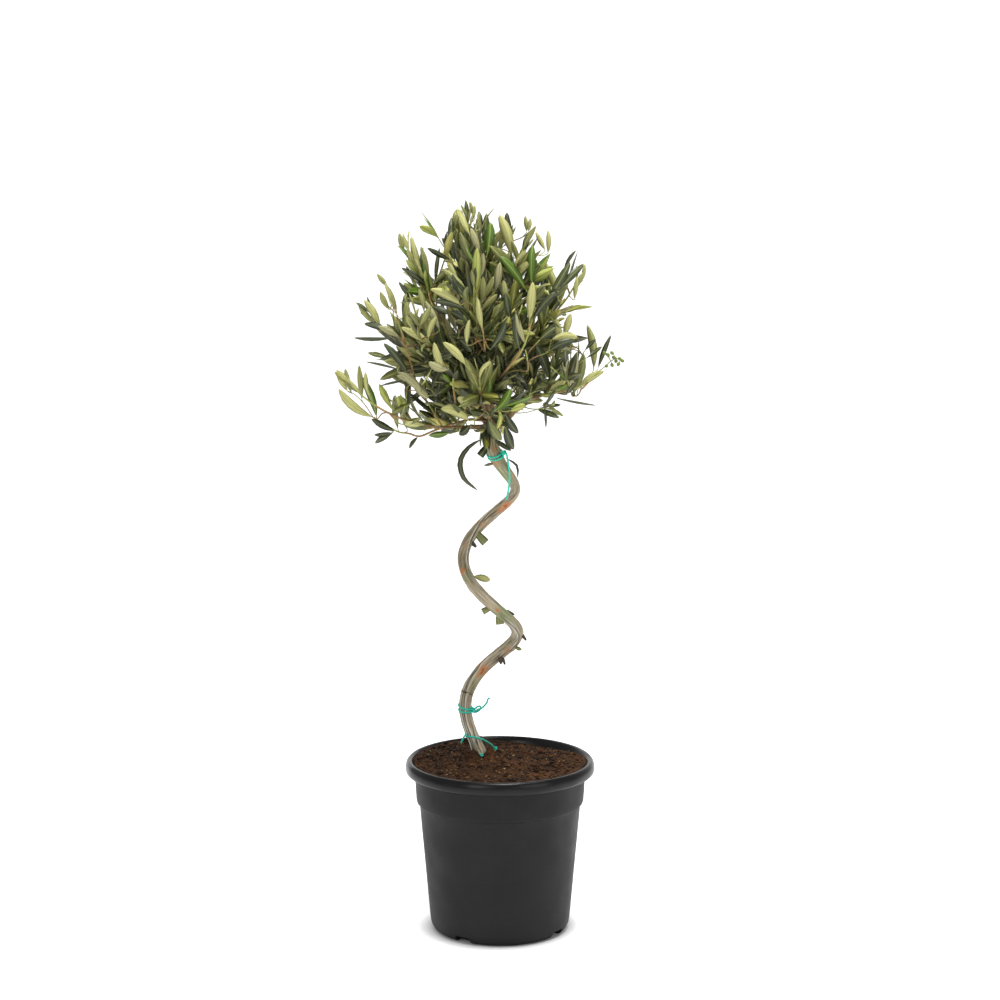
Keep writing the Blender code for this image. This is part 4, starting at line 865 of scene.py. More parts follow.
class OLIVE_OT_compost(bpy.types.Operator):
    """Makes the compost: a turned body with a lumpy top, and loose crumbs and chips scattered over it"""

    bl_idname = "olive.compost"
    bl_label = "Compost"

    def execute(self, context):
        rings = SOIL_SIDE + ((SOIL_RADIUS, SOIL_EDGE),)
        soil = drawn_up("compost", SOIL_SIDES, (SOIL_FOOT, SOIL_FLOOR + GAP), rings)
        for _ in range(SOIL_INSETS):
            bpy.ops.mesh.inset(thickness=SOIL_INSET, depth=0.0)
        bpy.ops.object.mode_set(mode="OBJECT")
        for vertex in soil.data.vertices:
            place = vertex.co
            if place.z > SOIL_EDGE - GAP:
                rim = 1.0 - smooth_step((math.hypot(place.x, place.y) - 0.092) / 0.008)
                lumps = noise.noise(place * 95.0) * 0.0014 + noise.noise(place * 240.0) * 0.0011
                grit = noise.noise(place * 620.0) * 0.0006
                place.z = soil_height(place.x, place.y) + (lumps + grit) * (0.3 + 0.7 * rim)
                away = math.hypot(place.x, place.y)
                if away > SOIL_RADIUS - GAP:
                    share = read_table(SOIL_LIMIT, place.z) / away
                    place.x, place.y = place.x * share, place.y * share
        select_only(soil)
        bpy.ops.object.shade_smooth()
        settle(soil, [potting_compost()], ["soil"])
        scatter_crumbs(context.scene.olive_sizes.crumb_count)
        return {"FINISHED"}


def crumb_pieces(count, chance):
    """What lies loose on the compost: place, turn, half its length, half its width, and its slot."""
    foot = trunk_point(GROUND)
    pieces = [(x * 0.001, y * 0.001, turn, long * 0.0005, 0.0009, 4) for x, y, long, turn in CHIPS]
    while len(pieces) < count:
        angle, reach = chance.uniform(0.0, math.tau), CRUMB_REACH * math.sqrt(chance.random())
        x, y = reach * math.cos(angle), reach * math.sin(angle)
        if math.hypot(x - foot.x, y - foot.y) < CRUMB_CLEAR:
            continue
        pick = chance.random()
        slot = 0 if pick < 0.34 else 1 if pick < 0.72 else 2 if pick < 0.90 else 3 if pick < 0.982 else 4
        size = chance.uniform(0.0006, 0.0017) * (0.6 if slot == 4 else 1.0)
        if slot < 2 and chance.random() < 0.18:
            size *= 2.0
        long_way = size * chance.uniform(1.0, 2.6 if slot in (2, 3) else 1.4)
        pieces.append((x, y, chance.uniform(0.0, math.tau), long_way, size, slot))
    return pieces


def scatter_crumbs(count):
    """Loose crumbs, chips and grit that lie sunk in the compost's top, joined in one piece."""
    chance = random.Random(FINE_SEED)
    corners = [Vector((x, y, z)).normalized() for z in (-1, 1) for y in (-1, 1) for x in (-1, 1)]
    cube = ((0, 2, 3, 1), (4, 5, 7, 6), (0, 1, 5, 4), (2, 6, 7, 3), (0, 4, 6, 2), (1, 3, 7, 5))
    crumbs = Joined()
    for x, y, turn, long_way, size, slot in crumb_pieces(count, chance):
        spin = Quaternion(UP, turn) @ Quaternion((1.0, 0.0, 0.0), chance.uniform(-0.5, 0.5))
        middle = Vector((x, y, soil_height(x, y) + size * 0.25))
        points = []
        for corner in corners:
            shaped = Vector((corner.x * long_way, corner.y * size, corner.z * size * 0.7))
            points.append(middle + spin @ (shaped * chance.uniform(0.7, 1.3)))
        crumbs.add(points, cube, slots=slot)
    crumbs.finish("compost_crumbs", [plain_matter(name, code) for name, code in CRUMB_TONES], [], "soil")


# Wood


def trunk_point(height):
    """The middle of the stem at a height."""
    turn = math.tau / SPIRAL_PITCH
    if height < SPIRAL_LEFT:
        base = SPIRAL_LEFT - SPIRAL_FOOT
        share = (SPIRAL_LEFT - height) / base
        angle = math.pi + turn * (1.0 - SPIRAL_SLOWING) * base * share * (1.0 - BASE_SLOWING * share)
    else:
        angle = math.pi - turn * (height - SPIRAL_LEFT)
        angle += SPIRAL_SLOWING * math.sin(angle)
    radius = SPIRAL_RADIUS * (1.0 - smooth_step((height - SPIRAL_END) / SPIRAL_CLOSING))
    x = TRUNK_AXIS_X + TRUNK_LEAN * (height - LEAN_FROM) + radius * math.cos(angle)
    for middle, reach, aside in SWINGS:
        x += aside * (1.0 - smooth_step(abs(height - middle) / reach))
    return Vector((x, TRUNK_AXIS_Y + radius * math.sin(angle), height))


def trunk_radius(height):
    """The stem's radius, flaring at the ground and swelling at the fork."""
    above = (height - GROUND) / FLARE_HEIGHT
    return read_table(TRUNK_GIRTH, height) + FLARE * (1.0 - smooth_step(above)) ** 2


def facing(way):
    """The direction square to a limb that is nearest to the front, and the one to its right."""
    front = (FRONT - way * FRONT.dot(way)).normalized()
    return front, way.cross(front).normalized()


def steered(points):
    """The way along a line at each point, with two directions square to it that never twist."""
    frames = []
    across = None
    for number, point in enumerate(points):
        before = points[max(number - 1, 0)]
        after = points[min(number + 1, len(points) - 1)]
        way = (after - before).normalized()
        if across is None:
            across = way.orthogonal().normalized()
        else:
            across = (frames[-1][0].rotation_difference(way) @ across).normalized()
        frames.append((way, across, way.cross(across).normalized()))
    return frames


def faced(points):
    """The way along a line at each point, its side that faces the front and the one to the right."""
    return [(way, *facing(way)) for way, _, _ in steered(points)]


def limb_mesh(points, radii, sides, relief=None, frames=None):
    """A closed limb of many rings whose skin stands in and out by the relief.

    Returns (points, faces, bark places). The relief is a function of the distance along the limb, the
    angle round it and its radius there.
    """
    corners, faces, places = [], [], []
    frames = frames or steered(points)
    along = 0.0
    for number, point in enumerate(points):
        if number:
            along += (point - points[number - 1]).length
        _, front, right = frames[number]
        for side in range(sides):
            angle = math.tau * side / sides
            out = front * math.cos(angle) + right * math.sin(angle)
            lift = relief(along, angle, radii[number]) if relief else 0.0
            corners.append(point + out * (radii[number] + lift))
            places.append((math.cos(angle) * radii[number], math.sin(angle) * radii[number], along))
    for ring in range(len(points) - 1):
        low, high = ring * sides, (ring + 1) * sides
        for side in range(sides):
            after = (side + 1) % sides
            faces.append((low + side, low + after, high + after, high + side))
    for ring, top in ((0, False), (len(points) - 1, True)):
        middle = len(corners)
        corners.append(points[ring])
        places.append((0.0, 0.0, along if top else 0.0))
        for side in range(sides):
            pair = (ring * sides + side, ring * sides + (side + 1) % sides)
            faces.append((*pair, middle) if top else (*reversed(pair), middle))
    return corners, faces, places


def turn_between(angle, other):
    """The turn from one angle to another, the short way."""
    return (angle - other + math.pi) % math.tau - math.pi


def ridge_share(height, angle, radius):
    """How much a pale ridge, and how much a cleft (painted dark with shade), marks the stem at a place."""
    ridge, cleft = 0.0, 0.0
    for rows, side in RIDGES:
        if rows[0][0] <= height <= rows[-1][0]:
            ends = smooth_step(min(height - rows[0][0], rows[-1][0] - height) / 0.008)
            away = turn_between(angle, read_table(rows, height)) * radius
            ridge += ends * math.exp(-((away / RIDGE_WIDTH) ** 2))
            cleft += ends * math.exp(-(((away - side * 1.9 * RIDGE_WIDTH) / (RIDGE_WIDTH * 0.8)) ** 2))
    return min(ridge, 1.0), min(cleft, 1.0)


def grain_noise(angle, wide, along):
    """A pattern on a limb at an angle round it: how fine it is round the limb, and its place along."""
    return noise.noise(Vector((math.cos(angle) * wide, math.sin(angle) * wide, along)))


def trunk_relief(along, angle, radius):
    """Bark of the stem: ridges that follow the grain, clefts beside the pale ones, and knots."""
    height = trunk_height(along)
    out = 0.00060 * grain_noise(angle, 3.1, along * 22.0)
    out += 0.00042 * grain_noise(angle, 8.0, along * 60.0 + 9.0)
    out += 0.00018 * grain_noise(angle, 18.0, along * 420.0)
    ridge, cleft = ridge_share(height, angle, radius)
    out += RIDGE_RISE * ridge - CLEFT_DEPTH * cleft
    for knot_height, knot_angle, rise, width in KNOTS:
        if abs(height - knot_height) < width * 2.0:
            away = turn_between(angle, knot_angle) * radius
            near = (away * away + (height - knot_height) ** 2) / (width * width * 0.36)
            out += rise * math.exp(-near) * (1.0 - 0.5 * math.exp(-near * 6.0))
    return out


def trunk_marks_and_painted_light(along, angle, radius):
    """The bark's marks at a place: how dark (painted shade in the clefts and where the grain sinks, and dark
    streaks), how pale (paler ridges, with painted highlight on the raised grain) and how green it is.
    """
    height = trunk_height(along)
    ridge, cleft = ridge_share(height, angle, radius)
    grain = grain_noise(angle, 8.0, along * 60.0 + 9.0)
    streak = grain_noise(angle, 5.0, along * 34.0 + 4.0)
    # Painted shade: dark in the clefts and where the grain sinks, with dark streaks of the bark's own
    dark = min(1.0, 0.8 * cleft + max(0.0, -grain * 1.1 - 0.12) + max(0.0, streak * 1.2 - 0.35))
    # Paler ridges, and painted highlight where the grain stands up
    pale = min(1.0, ridge + max(0.0, grain * 0.9 - 0.15))
    patch = grain_noise(angle, 1.8, along * 30.0 + 2.0)
    green = 0.0
    for middle, reach, strength in ALGAE:
        green += strength * (1.0 - smooth_step(abs(height - middle) / reach)) * (0.75 + 0.8 * patch)
    return dark, pale, min(max(green, 0.0), 1.0)


def trunk_scars(along, angle, radius):
    """How much of an orange scar the bark shows at a place, with a dark middle."""
    height = trunk_height(along)
    scar, heart = 0.0, 0.0
    for middle, middle_angle, tall, wide, strength in SCARS:
        if abs(height - middle) < tall * 2.0:
            away = turn_between(angle, middle_angle) * radius
            near = ((height - middle) / tall) ** 2 + (away / wide) ** 2
            ragged = noise.noise(Vector((away * 500.0, height * 180.0, middle * 50.0)))
            streak = noise.noise(Vector((away * 1400.0, height * 90.0, middle * 50.0)))
            here = strength * (1.0 - smooth_step((near + 0.9 * ragged - 0.1) / 1.3))
            scar = max(scar, here * (0.78 + 0.7 * streak))
            if strength > 0.7:
                heart = max(heart, 0.8 * (1.0 - smooth_step((near + 0.3 * ragged) / 0.10)))
    return max(scar, 0.0), heart, 0.0


def trunk_line():
    """Points along the stem from below the ground to its rounded head, with radii and heights."""
    low = GROUND - 0.010
    heights = [low + (FORK_HEIGHT - low) * ring / TRUNK_RINGS for ring in range(TRUNK_RINGS + 1)]
    head = trunk_point(FORK_HEIGHT)
    points = [trunk_point(height) for height in heights]
    while (points[-1] - head).length < FORK_RADIUS:
        points.pop()
    radii = [trunk_radius(point.z) for point in points]
    for step in range(1, 15):
        angle = math.radians(-40.0 + 126.0 * step / 14.0)
        points.append(head + UP * (FORK_RADIUS * math.sin(angle)))
        radii.append(FORK_RADIUS * math.cos(angle))
    return points, radii


def running_length(points):
    """The distance along a line at each of its points."""
    steps = [0.0]
    for before, after in zip(points, points[1:]):
        steps.append(steps[-1] + (after - before).length)
    return steps


TRUNK_POINTS, TRUNK_RADII = trunk_line()
TRUNK_STEPS = running_length(TRUNK_POINTS)
TRUNK_LEVELS = [point.z for point in TRUNK_POINTS]


def trunk_height(along):
    """The height of the stem at a distance along it."""
    return float(np.interp(along, TRUNK_STEPS, TRUNK_LEVELS))


def bough_relief(along, angle, radius):
    """Young bark: fine long ridges and low rings where leaves have been."""
    ridges = grain_noise(angle, 2.2, along * 55.0 + radius * 999.0)
    grain = grain_noise(angle, 5.0, along * 190.0)
    ring = max(0.0, math.cos(along * math.tau / 0.013)) ** 14
    return radius * (0.085 * ridges + 0.04 * grain + 0.11 * ring)


def olive_bark():
    """Olive bark a few years old, grown: grey-brown and pale strips along the grain, with green algae,
    painted shade in the clefts and painted highlight on the raised grain.
    """
    made, tree, shader = new_surface("olive_bark", 0.85)
    base = bpy.context.scene.olive_colours.bark
    place = add_node(tree, "Attribute", attribute_name="bark_place").outputs["Vector"]
    where = add_node(tree, "TexCoord").outputs["Object"]
    # Strips are 1 to 2 mm wide and 2 to 4 cm long
    strips = {"Vector": place, "Scale": (1.0, 1.0, 0.07)}
    strips = add_node(tree, "Mapping", strips).outputs["Vector"]
    strip = {"Vector": strips, "Scale": 420.0, "Detail": 4.0, "Roughness": 0.6}
    strip = add_node(tree, "TexNoise", strip)
    broad = add_node(tree, "TexNoise", {"Vector": strips, "Scale": 150.0, "Detail": 2.0})
    patches = add_node(tree, "TexNoise", {"Vector": where, "Scale": 34.0, "Detail": 3.0})
    spots = add_node(tree, "TexNoise", {"Vector": where, "Scale": 260.0, "Detail": 3.0})
    layers = (
        (strip, 0.34, 0.52, 1.0, base),
        (broad, 0.54, 0.66, 1.0, "#a39d8c"),
        (patches, 0.50, 0.68, 0.75, "#777558"),
        (spots, 0.62, 0.74, 0.6, "#7d6048"),
    )
    colour = laid_over(tree, opaque("#5b5040"), layers)
    # Marks painted in by place: painted shade in the clefts and low grain, pale ridges with painted
    # highlight on the raised grain, algae, and scars with their dark hearts
    marks = add_node(tree, "Attribute", attribute_name="bark_marks_and_painted_light")
    marks = add_node(tree, "SeparateXYZ", {0: marks.outputs["Vector"]}).outputs
    wound = add_node(tree, "Attribute", attribute_name="bark_scars")
    wound = add_node(tree, "SeparateXYZ", {0: wound.outputs["Vector"]}).outputs
    for share, code in (
        (marks["Z"], "#7c8758"),
        # pale ridges, with painted highlight on the raised grain
        (marks["Y"], "#cdc9ba"),
        # painted shade in the clefts and the low grain, and dark streaks
        (marks["X"], "#352c21"),
        (wound["X"], "#b2703f"),
        (wound["Y"], "#7d3d26"),
    ):
        blend = {"Factor": share, 6: colour, 7: opaque(code)}
        colour = add_node(tree, "Mix", blend, data_type="RGBA").outputs[2]
    levels = {0: strip.outputs["Fac"], 1: spots.outputs["Fac"]}
    height = add_node(tree, "Math", levels, operation="ADD").outputs["Value"]
    bump = add_node(tree, "Bump", {"Height": height, "Strength": 0.8, "Distance": 0.0007})
    fill(tree, shader, {"Base Color": colour, "Normal": bump.outputs["Normal"]})
    return made


def young_bark(name, main, dark, light):
    """Young olive bark, grown: smooth, with fine streaks along the grain."""
    made, tree, shader = new_surface(name, 0.7)
    place = add_node(tree, "Attribute", attribute_name="bark_place").outputs["Vector"]
    strips = {"Vector": place, "Scale": (1.0, 1.0, 0.16)}
    strips = add_node(tree, "Mapping", strips).outputs["Vector"]
    streak = add_node(tree, "TexNoise", {"Vector": strips, "Scale": 600.0, "Detail": 3.0})
    patch = add_node(tree, "TexNoise", {"Vector": place, "Scale": 120.0, "Detail": 3.0})
    layers = ((streak, 0.36, 0.60, 1.0, main), (patch, 0.52, 0.70, 1.0, light))
    colour = laid_over(tree, opaque(dark), layers)
    bump = {"Height": streak.outputs["Fac"], "Strength": 0.5, "Distance": 0.0004}
    bump = add_node(tree, "Bump", bump).outputs["Normal"]
    fill(tree, shader, {"Base Color": colour, "Normal": bump})
    return made


class OLIVE_OT_stem(bpy.types.Operator):
    """Makes the wound stem with its furrowed bark and knots"""

    bl_idname = "olive.stem"
    bl_label = "Stem"

    def execute(self, context):
        marks, scars = [], []
        for along, radius in zip(TRUNK_STEPS, TRUNK_RADII):
            for side in range(TRUNK_SIDES):
                angle = math.tau * side / TRUNK_SIDES
                marks.append(trunk_marks_and_painted_light(along, angle, radius))
                scars.append(trunk_scars(along, angle, radius))
        # The middles of the two end caps have no marks
        ends = [(0.0, 0.0, 0.0)] * 2
        # The marks carry painted shade in the clefts and painted highlight on the raised grain, besides the
        # algae
        fields = {"bark_marks_and_painted_light": marks + ends, "bark_scars": scars + ends}
        stem = Joined()
        stem.add(*limb_mesh(TRUNK_POINTS, TRUNK_RADII, TRUNK_SIDES, trunk_relief, faced(TRUNK_POINTS)))
        stem.finish("stem_bark", [olive_bark()], ["trunk"], "bark", **fields)
        return {"FINISHED"}


def bent(start, heading, tip, tip_heading, steps):
    """Points along a limb that leaves a start on one heading and ends at a tip on another."""
    reach = (tip - start).length
    first = start + heading.normalized() * (reach * START_PULL)
    second = tip - tip_heading.normalized() * (reach * TIP_PULL)
    points = []
    for step in range(steps + 1):
        t = step / steps
        s = 1.0 - t
        points.append(start * s**3 + first * (3 * s * s * t) + second * (3 * s * t * t) + tip * t**3)
    return points


def bough_line(name):
    """The points along a bough as in its solid, its radius at each and the way it leaves what bears it."""
    parent, leaving, tip, tip_heading, low_radius, high_radius = BOUGHS[name]
    leaving = Vector(leaving).normalized()
    if parent is None:
        start = trunk_point(FORK_HEIGHT) + leaving * (FORK_RADIUS + GAP)
    else:
        leader, leader_radii, _ = bough_line("leader")
        number = round(parent * (len(leader) - 1))
        way = (leader[number + 1] - leader[number - 1]).normalized()
        leaving = (leaving - way * leaving.dot(way)).normalized()
        start = leader[number] + leaving * (leader_radii[number] + GAP)
    steps = LEADER_STEPS if name == "leader" else BOUGH_STEPS
    points = bent(start, leaving, Vector(tip), Vector(tip_heading), steps)
    radii = [low_radius + (high_radius - low_radius) * step / steps for step in range(steps + 1)]
    return points, radii, leaving


def refined(points, radii, spacing):
    """A smooth line through the points with rings at an even spacing, and the radius at each."""
    dense, girth = [], []
    last = len(points) - 1
    for number in range(last):
        p0 = points[max(number - 1, 0)]
        p1, p2 = points[number], points[number + 1]
        p3 = points[min(number + 2, last)]
        parts = max(1, round((p2 - p1).length / spacing))
        for part in range(parts):
            t = part / parts
            dense.append(
                (p1 * 2.0 + (p2 - p0) * t + (p0 * 2.0 - p1 * 5.0 + p2 * 4.0 - p3) * t**2
                 + (p1 * 3.0 - p0 - p2 * 3.0 + p3) * t**3) * 0.5
            )
            girth.append(radii[number] + (radii[number + 1] - radii[number]) * t)
    dense.append(points[-1])
    girth.append(radii[-1])
    return dense, girth


class OLIVE_OT_boughs(bpy.types.Operator):
    """Makes the boughs, each with a collar where it grows out of the stem or the leader"""

    bl_idname = "olive.boughs"
    bl_label = "Boughs"

    def execute(self, context):
        boughs = Joined()
        for name in BOUGHS:
            line, radii, leaving = bough_line(name)
            rooted = [line[0] - leaving * COLLAR_DEPTH] + line
            dense, girth = refined(rooted, [radii[0]] + radii, 0.0012)
            for number, point in enumerate(dense):
                from_foot = (point - rooted[0]).length
                girth[number] *= 1.0 + COLLAR_SWELL * (1.0 - smooth_step(from_foot / COLLAR_REACH))
            boughs.add(*limb_mesh(dense, girth, BOUGH_SIDES, bough_relief))
        bark = young_bark("young_olive_bark", "#8a6a45", "#5c4a33", "#a39070")
        boughs.finish("bough_bark", [bark], BOUGH_NODES, "young_bark")
        return {"FINISHED"}


# Growth of the crown, by the same rule as the solids


def crown_share(point):
    """How far out a point of the crown lies: 0 at its middle and 1 at the edge of the dome."""
    away = point - CROWN_CENTRE
    level = math.hypot(away.x / CROWN_WIDE, away.y / CROWN_DEEP)
    upright = away.z / (CROWN_ABOVE if away.z > 0.0 else CROWN_BELOW)
    return (level**CROWN_FULLNESS + abs(upright) ** CROWN_FULLNESS) ** (1.0 / CROWN_FULLNESS)


def in_space(points, name):
    """True if all the points lie in the space that a mass keeps to, clear of the other masses."""
    own = Vector(FOLIAGE[name][1])
    for point in points:
        if point.z < CROWN_FLOOR:
            return False
        for other, row in FOLIAGE.items():
            if other == name:
                continue
            theirs = Vector(row[1])
            between = theirs - own
            past = (point - (own + theirs) / 2.0).dot(between) / between.length
            if past > -CELL_CLEARANCE:
                return False
    return True


def in_reach(points, name):
    """True if all the points lie in the crown's dome, or near one of the mass's furthest tips."""
    for point in points:
        if crown_share(point) > 1.0:
            if min((point - Vector(tip)).length for tip in FOLIAGE[name][2]) > REACH_LEAVES:
                return False
    return True


def clear_of_limbs(solid, limbs):
    """True if a solid stays clear of the trunk and the boughs."""
    points, faces = solid
    if limbs.overlap(BVHTree.FromPolygons(points, faces)):
        return False
    for face in faces:
        middle = sum((points[corner] for corner in face), Vector()) / len(face)
        for probe in (middle, *(points[corner] for corner in face)):
            if limbs.find_nearest(probe, LIMB_CLEARANCE)[0] is not None:
                return False
    return True


def room_ahead(start, way):
    """How far the edge of the crown's dome is from a point inside it, up to a twig's length."""
    reach = 0.0
    while reach < TWIG_LENGTH + TIP_LEAF and crown_share(start + way * (reach + LOOK_AHEAD)) < 1.0:
        reach += LOOK_AHEAD
    return reach


def place_on(points, share):
    """The point and the heading at a share of a line's length."""
    reach = share * (len(points) - 1)
    number = min(int(reach), len(points) - 2)
    step = points[number + 1] - points[number]
    return points[number] + step * (reach - number), step.normalized()


def line_length(points):
    """The length of a line of points."""
    return sum((after - before).length for before, after in zip(points, points[1:]))


def leaf_places(points, chance, first_share, spacing=LEAF_SPACING):
    """Where leaves grow on a shoot: opposite pairs, each a quarter turn on, and a pair at its tip.

    Each place is (point, the shoot's heading, the turn about it, the angle from it, the size).
    """
    length = line_length(points)
    pairs = max(1, round(length * (1.0 - first_share) / spacing))
    spin = chance.uniform(0.0, math.tau)
    places = []
    for pair in range(pairs + 1):
        share = first_share + (1.0 - first_share) * pair / pairs
        place, way = place_on(points, min(share, LAST_PAIR))
        young = smooth_step((share - YOUNG_FROM) / (1.0 - YOUNG_FROM))
        angle = LEAF_ANGLE * (1.0 - YOUNG_CLOSER * young)
        for half in (0.0, math.pi):
            size = chance.uniform(1.0 - SIZE_SPREAD, 1.0 + SIZE_SPREAD) * (1.0 - YOUNG_SMALLER * young)
            turn = spin + half + chance.uniform(-TURN_SPREAD, TURN_SPREAD)
            places.append((place, way, turn, angle, size))
        spin += math.pi / 2.0
    return places


def leaf_frame(way, spin, angle):
    """The direction a leaf grows in and the way its upper side faces."""
    side = Quaternion(way, spin) @ way.orthogonal().normalized()
    out = (way * math.cos(angle) + side * math.sin(angle) + UP * LEAF_LIFT).normalized()
    upper = way * math.sin(angle) - side * math.cos(angle)
    across = out.cross(upper).normalized()
    return out, across.cross(out).normalized()


def leaf_outline(place, way, spin, angle, length, width, clear=0.0):
    """A coarse closed leaf for telling whether two leaves cross, as (points, faces)."""
    out, upper = leaf_frame(way, spin, angle)
    across = out.cross(upper)
    root = place + out * (length * clear)
    reach = length * (1.0 - clear)
    shoulder = root + out * (reach * 0.46)
    points = [
        root,
        shoulder + across * (width * 0.5),
        shoulder - across * (width * 0.5),
        root + out * (reach * 0.3) + upper * 0.0012,
        root + out * reach,
    ]
    return points, [(0, 1, 3), (0, 3, 2), (1, 4, 3), (3, 4, 2), (0, 2, 1), (1, 2, 4)]


def twig_line(start, way, length):
    """The points along a twig that lifts towards the light."""
    lifted = (way + UP * TWIG_LIFT).normalized()
    tip = start + (way + lifted).normalized() * length
    return bent(start, way, tip, lifted, TWIG_STEPS)


def reaching_line(start, way, reach, steps):
    """The points along a shoot whose last leaves end where the mass reaches furthest."""
    heading = ((reach - start).normalized() + UP * TWIG_LIFT).normalized()
    return bent(start, way, reach - heading * TIP_LEAF, heading, steps)


def side_twigs(stem, name, chance):
    """The twigs of one stem, each as the lines to try in turn: a long one to each of the mass's other
    reaches, then pairs out to the crown's edge."""
    twigs = []
    for number, tip in enumerate(FOLIAGE[name][2][1:]):
        place, way = place_on(stem, LONG_TWIG_FIRST + LONG_TWIG_STEP * number)
        reach = Vector(tip)
        twigs.append([reaching_line(place, way + (reach - place).normalized(), reach, REACH_STEPS)])
    pairs = int(line_length(stem) * (PAIR_LAST - PAIR_FIRST) / TWIG_SPACING)
    spin = chance.uniform(0.0, math.tau)
    for pair in range(pairs):
        place, way = place_on(stem, PAIR_FIRST + (PAIR_LAST - PAIR_FIRST) * pair / max(pairs - 1, 1))
        for half in (0.0, math.pi):
            side = Quaternion(way, spin + half) @ way.orthogonal().normalized()
            heading = (way * math.cos(TWIG_ANGLE) + side * math.sin(TWIG_ANGLE)).normalized()
            room = min(TWIG_LENGTH, room_ahead(place, heading) - TIP_LEAF)
            length = room * chance.uniform(1.0 - SIZE_SPREAD, 1.0)
            tries = [length * less for less in TWIG_TRIES if length * less > TWIG_SHORTEST]
            twigs.append([twig_line(place, heading, one) for one in tries])
        spin += math.pi / 2.0 + chance.uniform(-TURN_SPREAD, TURN_SPREAD)
    return twigs


def thin_hull(line, width):
    """A three-sided tube along a line, for telling whether a twig meets something."""
    corners, faces = [], []
    for number, point in enumerate(line):
        way = (line[min(number + 1, len(line) - 1)] - line[max(number - 1, 0)]).normalized()
        across = way.orthogonal().normalized()
        for side in range(3):
            corners.append(point + Quaternion(way, math.tau * side / 3.0) @ across * width)
    for ring in range(len(line) - 1):
        for side in range(3):
            after = (side + 1) % 3
            faces.append((ring * 3 + side, ring * 3 + after, ring * 3 + 3 + after, ring * 3 + 3 + side))
    return corners, faces


class Growth:
    """All the shoots and leaves of the crown as they grow.

    A shoot is its line, its radius at both ends and how young its wood is.
    """

    def __init__(self):
        self.shoots = []
        self.leaves = []
        self.drawn = []
        self.taken = []
        self.limbs = limb_tree(["trunk"] + BOUGH_NODES)

    def add_drawn(self, rings, tone):
        """Keeps one leaf that has its place given, which the grown leaves stay clear of."""
        points, faces, _ = blade_mesh(rings, tone)
        self.drawn.append((rings, tone))
        self.taken.append((None, points[len(points) // 2], BVHTree.FromPolygons(points, faces)))

    def add_leaf(self, spot, name, tone, strict):
        """Grows one leaf if it keeps to its space and crosses nothing; True if it grew.

        The name is that of its mass, or None for a leaf in the crown's middle.
        """
        sizes = bpy.context.scene.olive_sizes
        place, way, spin, angle, size = spot
        clear, narrow = (LEAF_CLEAR_FROM, 1.0) if strict else (LOOSE_CLEAR_FROM, LOOSE_WIDTH)
        for turn, less in LEAF_TRIES:
            length = sizes.leaf_length * size * less
            width = sizes.leaf_width * size * less
            hull = leaf_outline(place, way, spin + turn, angle, length, width * 1.3)
            if not (in_box(hull[0]) and may_show(place, hull[0][-1]) and clear_of_limbs(hull, self.limbs)):
                continue
            if name and not (in_space(hull[0], name) and in_reach(hull[0], name)):
                continue
            outer = leaf_outline(place, way, spin + turn, angle, length, width * narrow, clear)
            tree = BVHTree.FromPolygons(*outer)
            if any(tree.overlap(other) for other in self.others(name, place)):
                continue
            self.taken.append((name, place, tree))
            self.leaves.append((place, *leaf_frame(way, spin + turn, angle), length, width, tone))
            return True
        return False

    def others(self, name, place):
        """The leaves near a place that a new leaf of one mass has to stay clear of."""
        return [
            tree
            for mass, middle, tree in self.taken
            if (name is None or mass is None or mass == name) and (middle - place).length < NEAR
        ]


def on_sky_plane(place):
    """Where a place shows on the plane of the openings, as seen from the front, in millimetres."""
    share = (SKY_PLANE - CAMERA_PLACE[1]) / (place.y - CAMERA_PLACE[1])
    return place.x * share * 1000.0, (CAMERA_PLACE[2] + (place.z - CAMERA_PLACE[2]) * share) * 1000.0


def twig_spots():
    """Where the twigs that show lie on the plane of the openings, with their places in depth."""
    spots = []
    for line, _, _ in NAMED_TWIGS:
        dense, _ = refined(metres(line), [0.0] * len(line), 0.003)
        spots.extend((*on_sky_plane(point), point.y) for point in dense)
    return spots


def may_show(root, tip):
    """False if a leaf would hang in one of the crown's openings, or in front of a twig that shows."""
    for step in range(1, 6):
        place = root.lerp(tip, step / 5.0)
        across, height = on_sky_plane(place)
        if any(math.hypot(across - x, height - z) < radius for x, z, radius in SKY):
            return False
        if any(place.y < y and math.hypot(across - x, height - z) < TWIG_CLEAR for x, z, y in TWIG_SPOTS):
            return False
    return True


TWIG_SPOTS = twig_spots()


def in_box(points):
    """True if all the points lie in the box of the solids."""
    low, high = CAD_BOX
    return all(low[axis] < point[axis] < high[axis] for point in points for axis in range(3))


def limb_tree(nodes):
    """One tree of all the faces of some solids."""
    limbs = Joined()
    for name in nodes:
        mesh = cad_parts[name].data
        limbs.add([vertex.co.copy() for vertex in mesh.vertices], [face.vertices for face in mesh.polygons])
    return BVHTree.FromPolygons(limbs.points, limbs.faces)


def spray_tone(line, chance):
    """The tone of a whole spray: deeper inside the crown and paler and younger at its top and edge, partly
    younger growth and partly painted shade inside and painted light on top.
    """
    outer = crown_share(line[-1])
    high = smooth_step((line[-1].z - PALE_FROM) / PALE_OVER)
    # Partly painted light and shade: sprays high and far out lean pale, those deep inside lean dark
    pick = chance.random() + 0.15 * (outer - 0.85) + 0.30 * (high - 0.5)
    return next((tone for limit, tone in TONE_LIMITS if pick < limit), "young")


def leafiness(point):
    """How likely a finer leaf or shoot is to grow at a place: less so towards the crown's edge."""
    return 1.0 - THIN_BY * smooth_step((crown_share(point) - THIN_FROM) / THIN_OVER)


